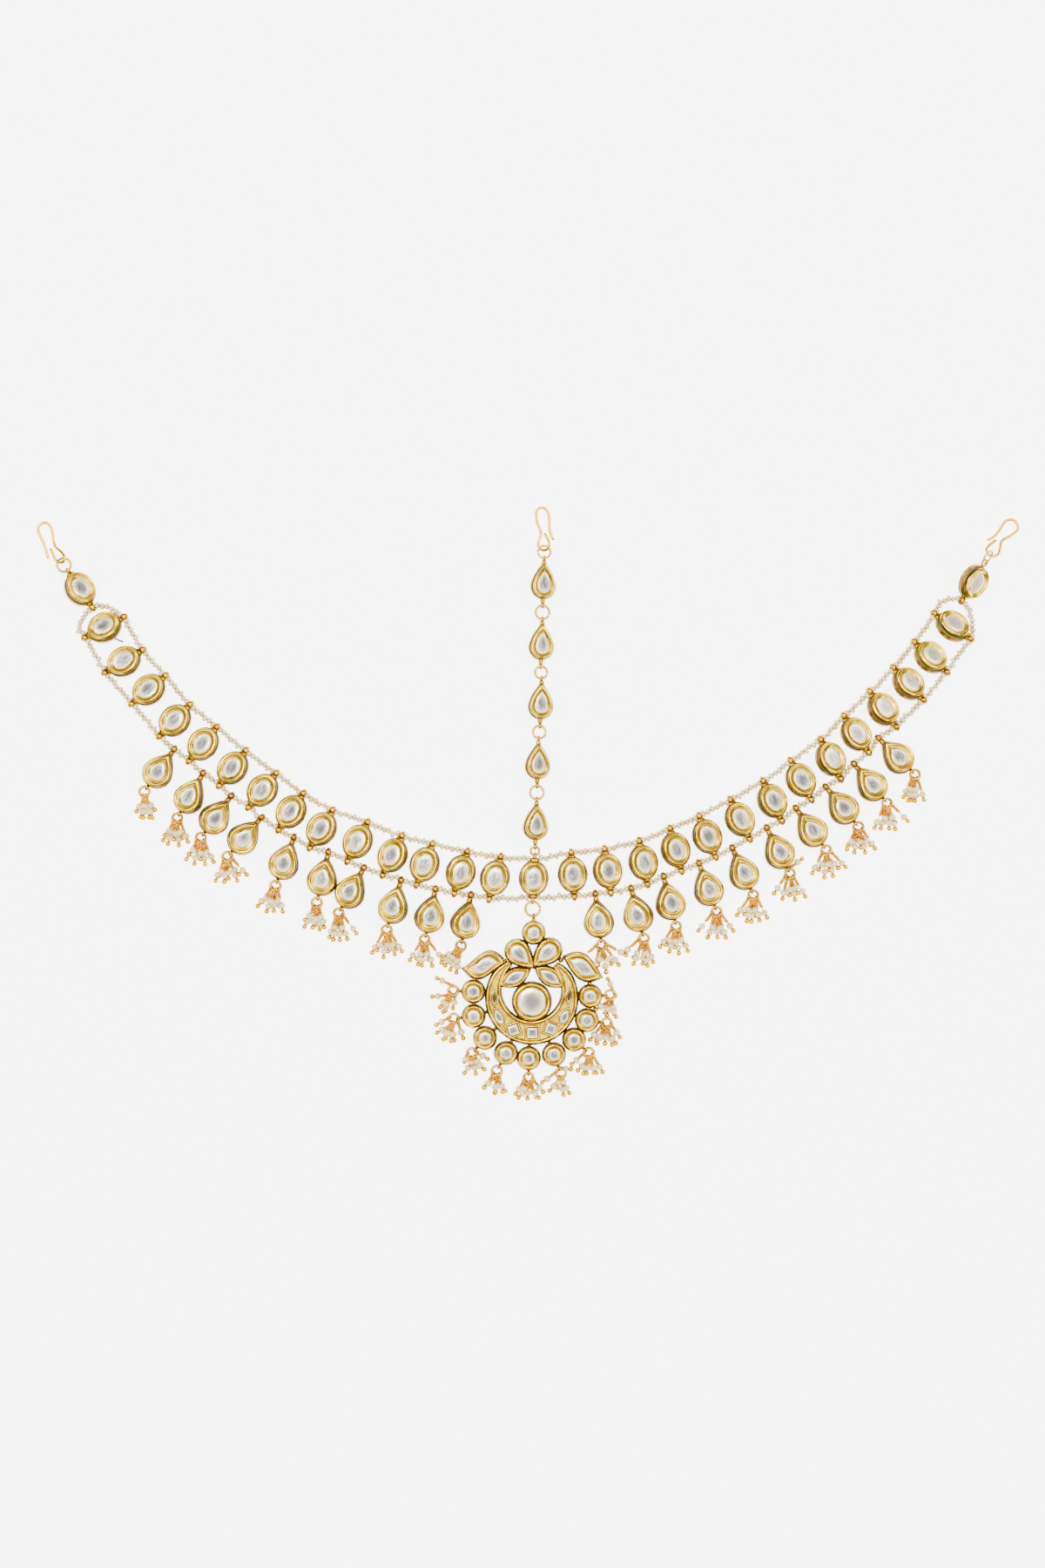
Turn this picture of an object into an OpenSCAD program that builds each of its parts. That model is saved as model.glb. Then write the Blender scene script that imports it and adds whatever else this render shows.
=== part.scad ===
// Matha patti: a forehead band of stone-set ovals strung between two rows of seed pearls,
// with a parting stem of teardrops, a fringe of tasselled drops and a crescent pendant.
// It lies face up on a flat surface. +X runs to the right end, +Y up the parting stem, +Z up.

/* [Band settings] */
// Length of an oval setting's rim, across the band
oval_l = 10.2; // [9:0.1:10.6]
// Width of an oval setting's rim, along the band
oval_w = 8.4; // [7.6:0.1:8.6]
// Length of the flat stone in an oval setting
oval_stone_l = 7.2; // [6:0.1:7.4]
// Width of the flat stone in an oval setting
oval_stone_w = 5.0; // [4:0.1:5.2]
// Height of every setting, from its back to the top of its rim
setting_h = 4.0; // [3.6:0.1:4.4]

/* [Drops and stem] */
// Length of a drop's teardrop rim
drop_l = 11.2; // [10.4:0.1:11.4]
// Width of a drop's teardrop rim
drop_w = 8.7; // [8:0.1:8.8]
// Length of a stem teardrop's rim
stem_l = 10.4; // [9.8:0.1:10.6]
// Width of a stem teardrop's rim
stem_w = 7.0; // [6.4:0.1:7.2]

/* [Strings and wires] */
// Diameter of the seed pearls on the two strings
pearl_d = 2.0; // [1.8:0.1:2.1]
// Diameter of the thread through the pearls
thread_d = 0.3; // [0.25:0.05:0.4]
// Wire diameter of the end hooks
hook_wire_d = 0.85; // [0.7:0.05:0.9]
// Wire diameter of the larger jump rings
ring_wire_d = 0.6; // [0.5:0.05:0.65]
// Length of a drop's tassel, from its ring's centre to its lowest bead
tassel_l = 9.2; // [8:0.1:9.4]
// Length of a tassel of the pendant, measured in the same way
pendant_tassel_l = 7.2; // [6.6:0.1:8]
// Thickness of a tassel's bundle of pins and pearls
tassel_t = 2.5; // [2.3:0.1:2.6]

/* [Pendant] */
// Radius of the crescent's outer edge
crescent_r = 14.2; // [14:0.1:14.4]
// Radius of the circle that the crescent is open to
crescent_inner_r = 9.5; // [9.3:0.1:9.7]
// Rim radius of the small round settings
round_r = 3.4; // [3.2:0.05:3.5]
// Rim radius of the round setting in the middle
centre_r = 5.9; // [5.7:0.1:6.0]

/* [Hidden] */
$fn = 40;
BAND_COUNT = 29;
STEM_COUNT = 5;
function two_digits(i) = str(i < 10 ? "0" : "", i);
function band_name(i) = str("band_setting_", two_digits(i));
function stem_name(i) = str("stem_setting_", i);

// Heights of a setting's steps, and how far each step stands out or in from the rim's outline
base_h = 2.3;
groove_h = 2.65;
rim_shoulder_h = setting_h - 0.4;
base_flare = 0.15;
groove_inset = 0.3;
rim_inset = 0.35;
stone_floor_h = 2.9;
bevel_h = 3.4;
bevel_width = 0.75;
stone_gap = 0.1;
stone_lift = 0.06;
stone_t = 0.75;

// Loops: the axis height, the ring's radii and width, and the reach from the centre to the hole
lug_z = 1.3;
lug_r = 1.1;
lug_bore_r = 0.62;
lug_tip_r = 0.75;
lug_tip = 0.85;
drop_lug_tip = 0.5;
string_lug_w = 1.4;
ring_lug_w = 1.1;
neck_h = 1.5;
oval_reach = 6.7;
drop_top_reach = 7.8;
drop_bottom_reach = 6.7;
stem_top_reach = 7.1;
stem_bottom_reach = 7.6;
end_hook_reach = 6.8;
// The middle oval's loops hold a ring each, outside the thread
centre_thread_reach = 6.05;
centre_ring_reach = 7.2;
centre_lug_w = 1.2;
thread_bore_r = 0.4;
// Each loop of an oval: its reach, its width, the radius of its hole and its tip
STRING_LOOP = [[oval_reach, string_lug_w, lug_bore_r, lug_tip]];
END_STRING_LOOP = [[oval_reach, ring_lug_w, lug_bore_r, 0]];
HOOK_LOOP = [[end_hook_reach, ring_lug_w, lug_bore_r, 0]];
CENTRE_LOOPS = [
    [centre_thread_reach, centre_lug_w, thread_bore_r, 0],
    [centre_ring_reach, centre_lug_w, lug_bore_r, 0]
];

// Layout in millimetres from the middle oval: the rim's centre, the way its inner or top loop
// points and its lean about the line through its loops, positive to the right of that line
X = 0;
Y = 1;
TURN = 2;
LEAN = 3;
FAN_TURN = 4;
FAN_HALF = 5;

BAND = [
    [-133.0, 78.4, 28, -16],
    [-126.9, 67.6, 31, -10],
    [-119.2, 58.7, 40, -8],
    [-111.0, 49.0, 46, -4],
    [-102.3, 41.7, 51, -5],
    [-93.2, 34.3, 53, -7],
    [-83.8, 27.3, 51, -3],
    [-75.1, 20.8, 56, -8],
    [-65.7, 15.4, 59, -8],
    [-54.4, 11.4, 63, -6],
    [-43.7, 7.2, 64, -9],
    [-33.5, 4.3, 69, -3],
    [-22.0, 1.7, 73, 3],
    [-11.5, 0.0, 75, 1],
    [0.5, -0.1, 87, 0],
    [12.8, 1.1, 94, 4],
    [23.8, 2.3, 98, 8],
    [35.0, 4.9, 101, 10],
    [45.0, 8.9, 105, 10],
    [54.7, 13.0, 112, 7],
    [64.9, 18.4, 116, 10],
    [75.1, 24.2, 115, 14],
    [83.8, 30.6, 118, 10],
    [93.4, 37.3, 117, 20],
    [101.1, 45.0, 124, 15],
    [109.6, 53.0, 127, 23],
    [117.5, 61.0, 133, 25],
    [124.3, 69.3, 137, 25],
    [131.1, 79.2, 145, 32]
];
CENTRE = BAND[14];
END_LEFT = [-139.5, 90.1, 124, 18];
END_RIGHT = [138.1, 91.0, 59, 38];
STEM = [
    [3.9, 92.1, 88, 8],
    [3.3, 73.2, 88, 8],
    [3.0, 54.8, 88, 6],
    [2.2, 36.2, 88, 9],
    [1.6, 17.3, 88, 9]
];
// The last two columns are the way that the tassel fans out and half the angle of its fan
DROPS_LEFT = [
    [-115.7, 33.6, 55, -3, 277, 18],
    [-106.4, 25.9, 60, -10, 265, 38],
    [-97.7, 18.9, 54, 8, 267, 36],
    [-89.0, 12.7, 49, 4, 277, 38],
    [-76.8, 5.3, 69, -2, 258, 38],
    [-65.1, 0.4, 77, -3, 262, 26],
    [-56.4, -3.5, 61, -10, 281, 32],
    [-43.2, -8.2, 74, -8, 271, 42],
    [-31.3, -11.2, 78, 7, 262, 34],
    [-20.0, -13.1, 79, 11, 248, 22]
];
DROPS_RIGHT = [
    [20.5, -12.7, 97, -2, 314, 30],
    [32.4, -10.9, 104, -6, 270, 34],
    [43.2, -7.0, 104, 11, 264, 38],
    [54.8, -2.7, 110, 8, 269, 44],
    [65.7, 2.3, 114, 9, 266, 40],
    [76.8, 8.8, 117, 11, 268, 42],
    [86.8, 15.5, 126, 9, 278, 42],
    [96.4, 22.4, 129, 8, 275, 38],
    [105.3, 29.7, 130, 11, 276, 38],
    [113.4, 38.2, 135, 11, 267, 32]
];
// Bends of the strings on their way round the first and last ovals, with their heights
WRAP_LEFT_UPPER = [[-134.2, 84.3, 2.4], [-130.2, 83.6, 2.4]];
WRAP_LEFT_LOWER = [[-139.4, 80.6, 2.4], [-140.6, 77.0, 2.4]];
WRAP_RIGHT_UPPER = [[126.2, 85.2, 3.4], [129.6, 86.6, 3.6]];
WRAP_RIGHT_LOWER = [[136.7, 78.8, 2.1], [135.8, 82.4, 2.1]];

// Each small round setting of the pendant, then the way its tassel ring lies and its fan
ROUNDS = [
    [-18.2, -35.2, 178, 0, 224, 32],
    [-18.1, -42.8, 188, 0, 252, 36],
    [-14.6, -49.6, 230, 0, 262, 26],
    [-8.1, -54.3, 243, 0, 262, 26],
    [-1.0, -55.9, 269, 0, 268, 32],
    [6.8, -54.7, 290, 0, 262, 26],
    [13.0, -50.1, 318, 0, 290, 32],
    [17.0, -44.1, 351, 0, 283, 34],
    [18.0, -36.6, 2, 0, 300, 20]
];
CRESCENT = [-0.1, -37.2];
CRESCENT_OPEN = [-0.2, -34.8];
CENTRE_ROUND = [-0.1, -38.3];
TOP_ROUND = [0.5, -17.0];
// Petals and leaves: middle, way of the long axis, half length, half width and S-bend
PETAL_LEFT = [-3.4, -24.0, 315, 5.4, 3.7];
PETAL_RIGHT = [4.2, -23.6, 223, 5.4, 3.7];
MARQUISE_LEFT = [-5.4, -30.8, 28, 5.2, 2.7];
MARQUISE_RIGHT = [5.5, -30.6, -34, 5.2, 2.7];
LEAF_LEFT = [-14.9, -27.0, 7, 6.6, 3.5, 2.8];
LEAF_RIGHT = [15.7, -27.6, -27, 6.6, 3.5, -1.6];
// Granules of solder between neighbouring settings of the pendant
GRANULES = [
    [-8.6, -25.8], [8.9, -25.4], [-17.8, -31.4], [17.9, -32.8],
    [-18.2, -39.0], [17.5, -40.4], [0.2, -27.4]
];
granule_r = 0.9;
stem_bar_w = 1.2;
loop_beyond_round = 1.3;
// Stones of the crescent: place, turn, half length, half width and count of sides
CRESCENT_STONES = [
    [-5.8, -47.1, 19, 1.45, 4],
    [0.1, -48.0, 0, 1.5, 4],
    [5.8, -46.7, -20, 1.45, 4]
];
CRESCENT_MARQUISES = [[-10.3, -43.0, 116, 2.5, 1.1], [10.0, -43.0, 64, 2.4, 1.1]];
CRESCENT_SLIVERS = [[-11.7, -37.3, 92, 1.9, 0.7], [11.5, -36.7, 84, 1.9, 0.7]];
crescent_floor_h = 3.0;
pendant_floor_h = 2.4;
pendant_stone_t = 1.05;
crescent_rim_w = 0.8;

hook_wire_r = hook_wire_d / 2;
ring_wire_r = ring_wire_d / 2;
fine_wire_r = 0.28;
tassel_ring_r = 1.55;
pendant_ring_r = 2.25;
hook_ring_r = 2.15;
hook_lie = hook_wire_r + 0.01;
WIRE_SIDES = 8;

// Routes of the three wire hooks, each from its free long leg round to its short tail
HOOK_LEFT_ROUTE = [
    [-150.3, 99.0, hook_lie], [-150.8, 101.3, hook_lie], [-151.4, 103.2, hook_lie],
    [-152.8, 106.4, hook_lie], [-153.4, 108.0, hook_lie], [-153.1, 109.3, hook_lie],
    [-151.6, 110.3, hook_lie], [-150.2, 109.8, hook_lie], [-149.2, 108.2, hook_lie],
    [-148.8, 106.4, 0.45], [-148.5, 104.3, 0.7], [-147.9, 102.7, 1.2], [-146.6, 101.6, 1.8],
    [-145.5, 100.5, 2.5], [-145.0, 99.3, 3.0], [-145.2, 98.3, 2.9], [-146.0, 97.8, 2.4],
    [-147.0, 98.0, 1.8], [-147.9, 98.8, 1.4], [-148.6, 100.1, 1.1], [-149.5, 102.3, 0.6]
];
HOOK_RIGHT_ROUTE = [
    [141.3, 104.8, hook_lie], [142.8, 105.5, hook_lie], [144.3, 106.8, hook_lie],
    [145.6, 108.8, hook_lie], [146.8, 110.5, hook_lie], [148.3, 111.2, hook_lie],
    [149.8, 110.9, hook_lie], [150.8, 109.6, hook_lie], [150.6, 107.9, hook_lie],
    [149.3, 106.7, 0.45], [147.6, 105.7, 0.55], [146.2, 104.9, 0.8], [145.5, 103.7, 1.1],
    [145.2, 102.0, 1.6], [144.7, 100.6, 2.1], [143.4, 99.8, 2.5], [142.0, 100.0, 2.7],
    [141.0, 101.0, 2.6], [141.1, 102.3, 2.2], [142.2, 103.5, 1.6], [144.1, 104.9, 1.0]
];
HOOK_TOP_ROUTE = [
    [6.7, 104.8, hook_lie], [5.9, 106.5, hook_lie], [5.4, 108.5, hook_lie],
    [5.3, 111.5, hook_lie], [4.9, 113.5, hook_lie], [3.9, 114.7, hook_lie],
    [2.6, 114.9, hook_lie], [1.5, 114.1, hook_lie], [1.2, 112.6, hook_lie],
    [1.6, 110.4, hook_lie], [2.4, 108.3, hook_lie], [2.7, 106.8, hook_lie],
    [2.2, 105.0, hook_lie], [1.9, 103.5, hook_lie], [2.4, 102.3, 0.5], [3.3, 101.7, 1.0],
    [4.4, 101.8, 1.8], [5.1, 102.5, 2.5], [5.3, 103.6, 2.7], [4.8, 105.2, 2.3], [3.8, 107.0, 1.8]
];

function unit(v) = v / norm(v);

// A point turned about the origin by an angle
function turned(p, a) = [p.x * cos(a) - p.y * sin(a), p.x * sin(a) + p.y * cos(a)];

// Outlines as lists of points, with their long axis along Y
function oval_outline(half_l, half_w) =
    [for (t = [0:15:345]) [half_w * cos(t), half_l * sin(t)]];

// A teardrop whose round end is a circle of the half width and whose sides run to a point
function drop_outline(half_l, half_w) =
    let (round_y = half_w - half_l, rise = 2 * half_l - half_w, steps = 6)
    concat(
        [for (i = [0:steps]) let (s = i / steps) [half_w * (1 - pow(s, 1.7)), round_y + s * rise]],
        [for (i = [steps - 1:-1:0]) let (s = i / steps)
            [-half_w * (1 - pow(s, 1.7)), round_y + s * rise]],
        [for (t = [202.5:22.5:337.5]) [half_w * cos(t), round_y + half_w * sin(t)]]);

// A pointed leaf along X, whose two ends may bend apart like an S
function leaf_outline(half_l, half_w, bend = 0) =
    let (steps = 8)
    concat(
        [for (i = [-steps:steps - 1]) let (s = i / steps, w = 1 - s * s)
            [half_l * s, bend * s * w - half_w * w]],
        [for (i = [steps:-1:1 - steps]) let (s = i / steps, w = 1 - s * s)
            [half_l * s, bend * s * w + half_w * w]]);

// Half the width that a setting stands on
function foot_half(width) = width / 2 + base_flare;

// Height of the line through a setting's loops when it leans over on its foot
function axis_height(lean, half_w) = lug_z * cos(lean) + half_w * sin(abs(lean));

// A point of that line: its distance along from the middle, and a step across it
function axis_point(row, half_w, along, across = 0) =
    let (
        lean = row[LEAN],
        shift = -(setting_h - lug_z) * sin(lean),
        flat = turned([shift + across * cos(lean), along], row[TURN] - 90))
    [row[X] + flat.x, row[Y] + flat.y, axis_height(lean, half_w) - across * sin(lean)];

// The place of a setting on the surface that it rests on
module seated(row, half_w) {
    origin = axis_point(row, half_w, 0);
    translate(origin)
        rotate([0, 0, row[TURN] - 90])
            rotate([0, row[LEAN], 0])
                translate([0, 0, -lug_z])
                    children();
}

module slab(points, low, high) {
    translate([0, 0, low])
        linear_extrude(high - low)
            polygon(points);
}

// A loop on a tapering neck, its hole running across the setting, with a blunt tip beyond it
module loop(start, reach, width, tip = 0) {
    translate([0, 0, lug_z]) {
        if (tip > 0)
            translate([-width * 0.42, reach + tip, 0])
                rotate([0, 90, 0])
                    cylinder(r = lug_tip_r, h = width * 0.84);
        translate([-width / 2, reach, 0])
            rotate([0, 90, 0])
                cylinder(r = lug_r, h = width);
        translate([0, 0, -neck_h / 2])
            linear_extrude(neck_h)
                polygon([[-width * 0.8, start], [width * 0.8, start],
                    [width * 0.45, reach - lug_r + 0.25], [-width * 0.45, reach - lug_r + 0.25]]);
    }
}

module loop_bore(reach, r = lug_bore_r) {
    translate([-3, reach, lug_z])
        rotate([0, 90, 0])
            cylinder(r = r, h = 6);
}

// The flared base, groove and rolled rim of an oval setting
module oval_steps() {
    half_l = oval_l / 2;
    half_w = oval_w / 2;
    slab(oval_outline(half_l + base_flare, half_w + base_flare), 0, base_h);
    slab(oval_outline(half_l - groove_inset, half_w - groove_inset), base_h, groove_h);
    slab(oval_outline(half_l, half_w), groove_h, rim_shoulder_h);
    slab(oval_outline(half_l - rim_inset, half_w - rim_inset), rim_shoulder_h, setting_h);
}

module oval_pocket() {
    half_l = oval_stone_l / 2 + stone_gap;
    half_w = oval_stone_w / 2 + stone_gap;
    slab(oval_outline(half_l, half_w), stone_floor_h, setting_h + 1);
    slab(oval_outline(half_l + bevel_width * 0.6, half_w + bevel_width * 0.6), bevel_h, setting_h + 1);
}

module oval_setting(inner_loops, outer_loops) {
    neck_start = oval_l / 2 - 0.5;
    difference() {
        union() {
            oval_steps();
            for (row = inner_loops)
                loop(neck_start, row[0], row[1], row[3]);
            rotate([0, 0, 180])
                for (row = outer_loops)
                    loop(neck_start, row[0], row[1], row[3]);
        }
        oval_pocket();
        for (row = inner_loops)
            loop_bore(row[0], row[2]);
        rotate([0, 0, 180])
            for (row = outer_loops)
                loop_bore(row[0], row[2]);
    }
}

module drop_setting(length, width, top_reach, bottom_reach, top_w, top_tip = 0) {
    half_l = length / 2;
    half_w = width / 2;
    stone_l = half_l * 0.56;
    stone_w = half_w * 0.56;
    difference() {
        union() {
            slab(drop_outline(half_l + base_flare, half_w + base_flare), 0, base_h);
            slab(drop_outline(half_l - groove_inset, half_w - groove_inset), base_h, groove_h);
            slab(drop_outline(half_l, half_w), groove_h, rim_shoulder_h);
            slab(drop_outline(half_l - rim_inset, half_w - rim_inset), rim_shoulder_h, setting_h);
            loop(half_l - 1.2, top_reach, top_w, top_tip);
            rotate([0, 0, 180])
                loop(half_l - 0.5, bottom_reach, ring_lug_w);
        }
        translate([0, -half_l * 0.1, 0]) {
            slab(drop_outline(stone_l + stone_gap, stone_w + stone_gap), stone_floor_h, setting_h + 1);
            slab(drop_outline(stone_l + bevel_width * 0.7, stone_w + bevel_width * 0.7),
                bevel_h, setting_h + 1);
        }
        loop_bore(top_reach);
        rotate([0, 0, 180])
            loop_bore(bottom_reach);
    }
}

module oval_stone() {
    slab(oval_outline(oval_stone_l / 2, oval_stone_w / 2), stone_floor_h + stone_lift,
        stone_floor_h + stone_t);
}

module drop_stone(length, width) {
    translate([0, -length * 0.05, 0])
        slab(drop_outline(length * 0.28, width * 0.28), stone_floor_h + stone_lift,
            stone_floor_h + stone_t);
}

// The settings of the band and its two ends
module band_setting(i) {
    loops = i == 15 ? CENTRE_LOOPS : STRING_LOOP;
    color("goldenrod")
        seated(BAND[i - 1], foot_half(oval_w))
            oval_setting(loops, loops);
}

module end_setting_left() {
    color("goldenrod")
        seated(END_LEFT, foot_half(oval_w))
            oval_setting(HOOK_LOOP, END_STRING_LOOP);
}

// Its hook loop lies flat, so that its ring stands on edge
module end_setting_right() {
    hole = [0, end_hook_reach, lug_z];
    color("goldenrod")
        seated(END_RIGHT, foot_half(oval_w))
            difference() {
                union() {
                    oval_setting([], END_STRING_LOOP);
                    translate(hole - [0, 0, ring_lug_w / 2])
                        cylinder(r = lug_r + 0.15, h = ring_lug_w);
                    translate([-0.7, oval_l / 2 - 0.5, lug_z - 0.5])
                        cube([1.4, end_hook_reach - oval_l / 2 - 0.3, 1]);
                }
                translate(hole - [0, 0, 2])
                    cylinder(r = lug_bore_r + 0.15, h = 4);
            }
}

module stem_setting(i) {
    color("goldenrod")
        seated(STEM[i - 1], foot_half(stem_w))
            drop_setting(stem_l, stem_w, stem_top_reach, stem_bottom_reach, ring_lug_w);
}

module drop_settings(rows) {
    color("darkgoldenrod")
        for (row = rows)
            seated(row, foot_half(drop_w))
                drop_setting(drop_l, drop_w, drop_top_reach, drop_bottom_reach, string_lug_w,
                    drop_lug_tip);
}

// The flat stones, each in its pocket
module band_stones() {
    color("gainsboro")
        for (row = BAND)
            seated(row, foot_half(oval_w))
                oval_stone();
}

module end_stones() {
    color("gainsboro")
        for (row = [END_LEFT, END_RIGHT])
            seated(row, foot_half(oval_w))
                oval_stone();
}

module stem_stones() {
    color("gainsboro")
        for (row = STEM)
            seated(row, foot_half(stem_w))
                drop_stone(stem_l, stem_w);
}

module drop_stones() {
    color("gainsboro")
        for (row = concat(DROPS_LEFT, DROPS_RIGHT))
            seated(row, foot_half(drop_w))
                drop_stone(drop_l, drop_w);
}

// Strings of pearls: where the thread leaves a loop's hole, first on the left and then the right
mouth_clear = 0.1;
function mouths(row, half_w, reach, width = string_lug_w) = [
    axis_point(row, half_w, reach, -width / 2 - mouth_clear),
    axis_point(row, half_w, reach, width / 2 + mouth_clear)];

centre_thread_w = 2.6;
function band_mouths(i, side) =
    mouths(BAND[i], foot_half(oval_w), side * (i == 14 ? centre_thread_reach : oval_reach),
        i == 14 ? centre_thread_w : string_lug_w);

function drop_mouths(row) = mouths(row, foot_half(drop_w), drop_top_reach);

function upper_points() = [for (i = [0:BAND_COUNT - 1]) each band_mouths(i, 1)];

// The outer thread picks up the drops between the fourth and fourteenth ovals from each end
function lower_points() =
    [for (i = [0:BAND_COUNT - 1]) each concat(
        band_mouths(i, -1),
        i >= 3 && i <= 12 ? drop_mouths(DROPS_LEFT[i - 3]) : [],
        i >= 15 && i <= 24 ? drop_mouths(DROPS_RIGHT[i - 15]) : [])];

// Both threads end in the end settings' loops, from the middle of the hole to one of its mouths
end_gap = 0.2;
function end_thread(row, side) =
    let (m = mouths(row, foot_half(oval_w), -oval_reach, ring_lug_w), middle = (m[0] + m[1]) / 2)
    [middle + end_gap * unit(m[side] - middle), m[side]];

// A string is a list of lengths, each from one point to the next, either bare or with pearls
BARE = 0;
PEARLS = 1;
function pearl_lengths(points) = [for (i = [1:len(points) - 1]) [points[i - 1], points[i], PEARLS]];

function strung(start, start_bends, points, end_bends, end) =
    let (last = len(points) - 1)
    concat(
        [[start[0], start[1], BARE]],
        pearl_lengths(concat([start[1]], start_bends, [points[0]])),
        [for (i = [1:last]) [points[i - 1], points[i], i % 2 == 1 ? BARE : PEARLS]],
        pearl_lengths(concat([points[last]], end_bends, [end[1]])),
        [[end[1], end[0], BARE]]);

// Pearls stand clear of the next loop by more where the thread enters it aslant
bend_clear = 0.3;
function pearl_clear(lengths, i, step) =
    let (
        here = unit(lengths[i][1] - lengths[i][0]),
        beside = unit(lengths[i + step][1] - lengths[i + step][0]),
        slant = acos(min(1, here * beside)))
    lengths[i + step][2] == PEARLS ? bend_clear : mouth_clear + pearl_d / 2 * tan(min(slant, 55));

module rod(from, to, r) {
    run = to - from;
    flat = norm([run.x, run.y]);
    translate(from)
        rotate([0, 0, atan2(run.y, run.x)])
            rotate([0, atan2(flat, run.z), 0])
                cylinder(r = r, h = norm(run), $fn = 16);
}

// Each stretch of pearls is one rod, and the bare thread runs straight from one to the next
thread_lap = 0.2;
module pearl_string(lengths) {
    thread_r = thread_d / 2;
    count = len(lengths);
    rods = [for (i = [0:count - 1])
        if (lengths[i][2] == PEARLS)
            let (along = unit(lengths[i][1] - lengths[i][0]))
            [lengths[i][0] + along * pearl_clear(lengths, i, -1),
             lengths[i][1] - along * pearl_clear(lengths, i, 1), along]];
    last = rods[len(rods) - 1];
    for (r = rods)
        rod(r[0], r[1], pearl_d / 2);
    for (i = [1:len(rods) - 1])
        rod(rods[i - 1][1] - rods[i - 1][2] * thread_lap, rods[i][0] + rods[i][2] * thread_lap, thread_r);
    rod(lengths[0][0], rods[0][0] + rods[0][2] * thread_lap, thread_r);
    rod(last[1] - last[2] * thread_lap, lengths[count - 1][1], thread_r);
}

module pearl_string_upper() {
    color("linen")
        pearl_string(strung(end_thread(END_LEFT, 1), WRAP_LEFT_UPPER, upper_points(),
            WRAP_RIGHT_UPPER, end_thread(END_RIGHT, 0)));
}

module pearl_string_lower() {
    color("linen")
        pearl_string(strung(end_thread(END_LEFT, 0), WRAP_LEFT_LOWER, lower_points(),
            WRAP_RIGHT_LOWER, end_thread(END_RIGHT, 1)));
}

// A jump ring that runs through two points, lying as flat as they allow
module ring_through(from, to, wire_r) {
    run = to - from;
    flat = norm([run.x, run.y]);
    translate((from + to) / 2)
        rotate([0, 0, atan2(run.y, run.x)])
            rotate([0, -atan2(run.z, flat), 0])
                rotate_extrude()
                    translate([norm(run) / 2, 0])
                        circle(r = wire_r);
}

// The point a ring's width beyond a loop's hole, on down to a given height
function ring_end(hole, direction, ring_r, height) =
    let (drop = height - hole.z, flat = sqrt(4 * ring_r * ring_r - drop * drop))
    [hole.x + flat * cos(direction), hole.y + flat * sin(direction), height];

function stem_hole(i, reach) = axis_point(STEM[i], foot_half(stem_w), reach);

module stem_rings() {
    color("darkgoldenrod") {
        for (i = [0:STEM_COUNT - 2])
            ring_through(stem_hole(i, -stem_bottom_reach), stem_hole(i + 1, stem_top_reach), ring_wire_r);
        ring_through(stem_hole(STEM_COUNT - 1, -stem_bottom_reach),
            axis_point(CENTRE, foot_half(oval_w), centre_ring_reach), fine_wire_r);
    }
}

pendant_ring_top = axis_point(CENTRE, foot_half(oval_w), -centre_ring_reach);
pendant_ring_low = ring_end(pendant_ring_top, 272, pendant_ring_r, lug_z);

module pendant_ring() {
    color("darkgoldenrod")
        ring_through(pendant_ring_top, pendant_ring_low, ring_wire_r);
}

hook_ring_top_hole = stem_hole(0, stem_top_reach);
module hook_ring_top() {
    color("darkgoldenrod")
        ring_through(hook_ring_top_hole, ring_end(hook_ring_top_hole, 90, 1.95, 1.5), ring_wire_r);
}

// The left ring lies in its setting's own tilt
module hook_ring_left() {
    color("darkgoldenrod")
        seated(END_LEFT, foot_half(oval_w))
            translate([0, end_hook_reach + hook_ring_r, lug_z])
                rotate_extrude()
                    translate([hook_ring_r, 0])
                        circle(r = ring_wire_r);
}

// The right ring stands on edge, a little aslant
right_ring_slant = 20;
right_ring_drop = 0.5;
module hook_ring_right() {
    hole = axis_point(END_RIGHT, foot_half(oval_w), end_hook_reach);
    run = sqrt(hook_ring_r * hook_ring_r - right_ring_drop * right_ring_drop);
    away = END_RIGHT[TURN];
    color("darkgoldenrod")
        translate([hole.x + run * cos(away), hole.y + run * sin(away), hole.z - right_ring_drop])
            rotate([0, 0, away - 90])
                rotate([0, 90 + right_ring_slant, 0])
                    rotate_extrude()
                        translate([hook_ring_r, 0])
                            circle(r = ring_wire_r);
}

// A smooth curve through route points, and a round wire along it
function blend_point(p0, p1, p2, p3, t) = 0.5 * (2 * p1 + (p2 - p0) * t
    + (2 * p0 - 5 * p1 + 4 * p2 - p3) * t * t + (3 * p1 - p0 - 3 * p2 + p3) * t * t * t);

function smooth_route(route, pieces) =
    let (last = len(route) - 1)
    concat([for (i = [0:last - 1], k = [0:pieces - 1])
        blend_point(route[max(i - 1, 0)], route[i], route[i + 1], route[min(i + 2, last)], k / pieces)],
        [route[last]]);

function wire_direction(path, i) = unit(path[min(i + 1, len(path) - 1)] - path[max(i - 1, 0)]);

function wire_ring(path, i, r, sides) =
    let (along = wire_direction(path, i), side = unit(cross(along, [0, 0, 1])), up = cross(side, along))
    [for (k = [0:sides - 1]) let (a = 360 * k / sides)
        path[i] + r * (side * cos(a) + up * sin(a))];

module wire(route, r) {
    path = smooth_route(route, 2);
    count = len(path);
    sides = WIRE_SIDES;
    points = [for (i = [0:count - 1]) each wire_ring(path, i, r, sides)];
    walls = [for (i = [0:count - 2], k = [0:sides - 1])
        let (next = (k + 1) % sides)
        each [[i * sides + k, i * sides + next, (i + 1) * sides + next],
            [i * sides + k, (i + 1) * sides + next, (i + 1) * sides + k]]];
    first_cap = [[for (k = [sides - 1:-1:0]) k]];
    last_cap = [[for (k = [0:sides - 1]) (count - 1) * sides + k]];
    polyhedron(points, concat(walls, first_cap, last_cap), convexity = 6);
}

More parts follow.
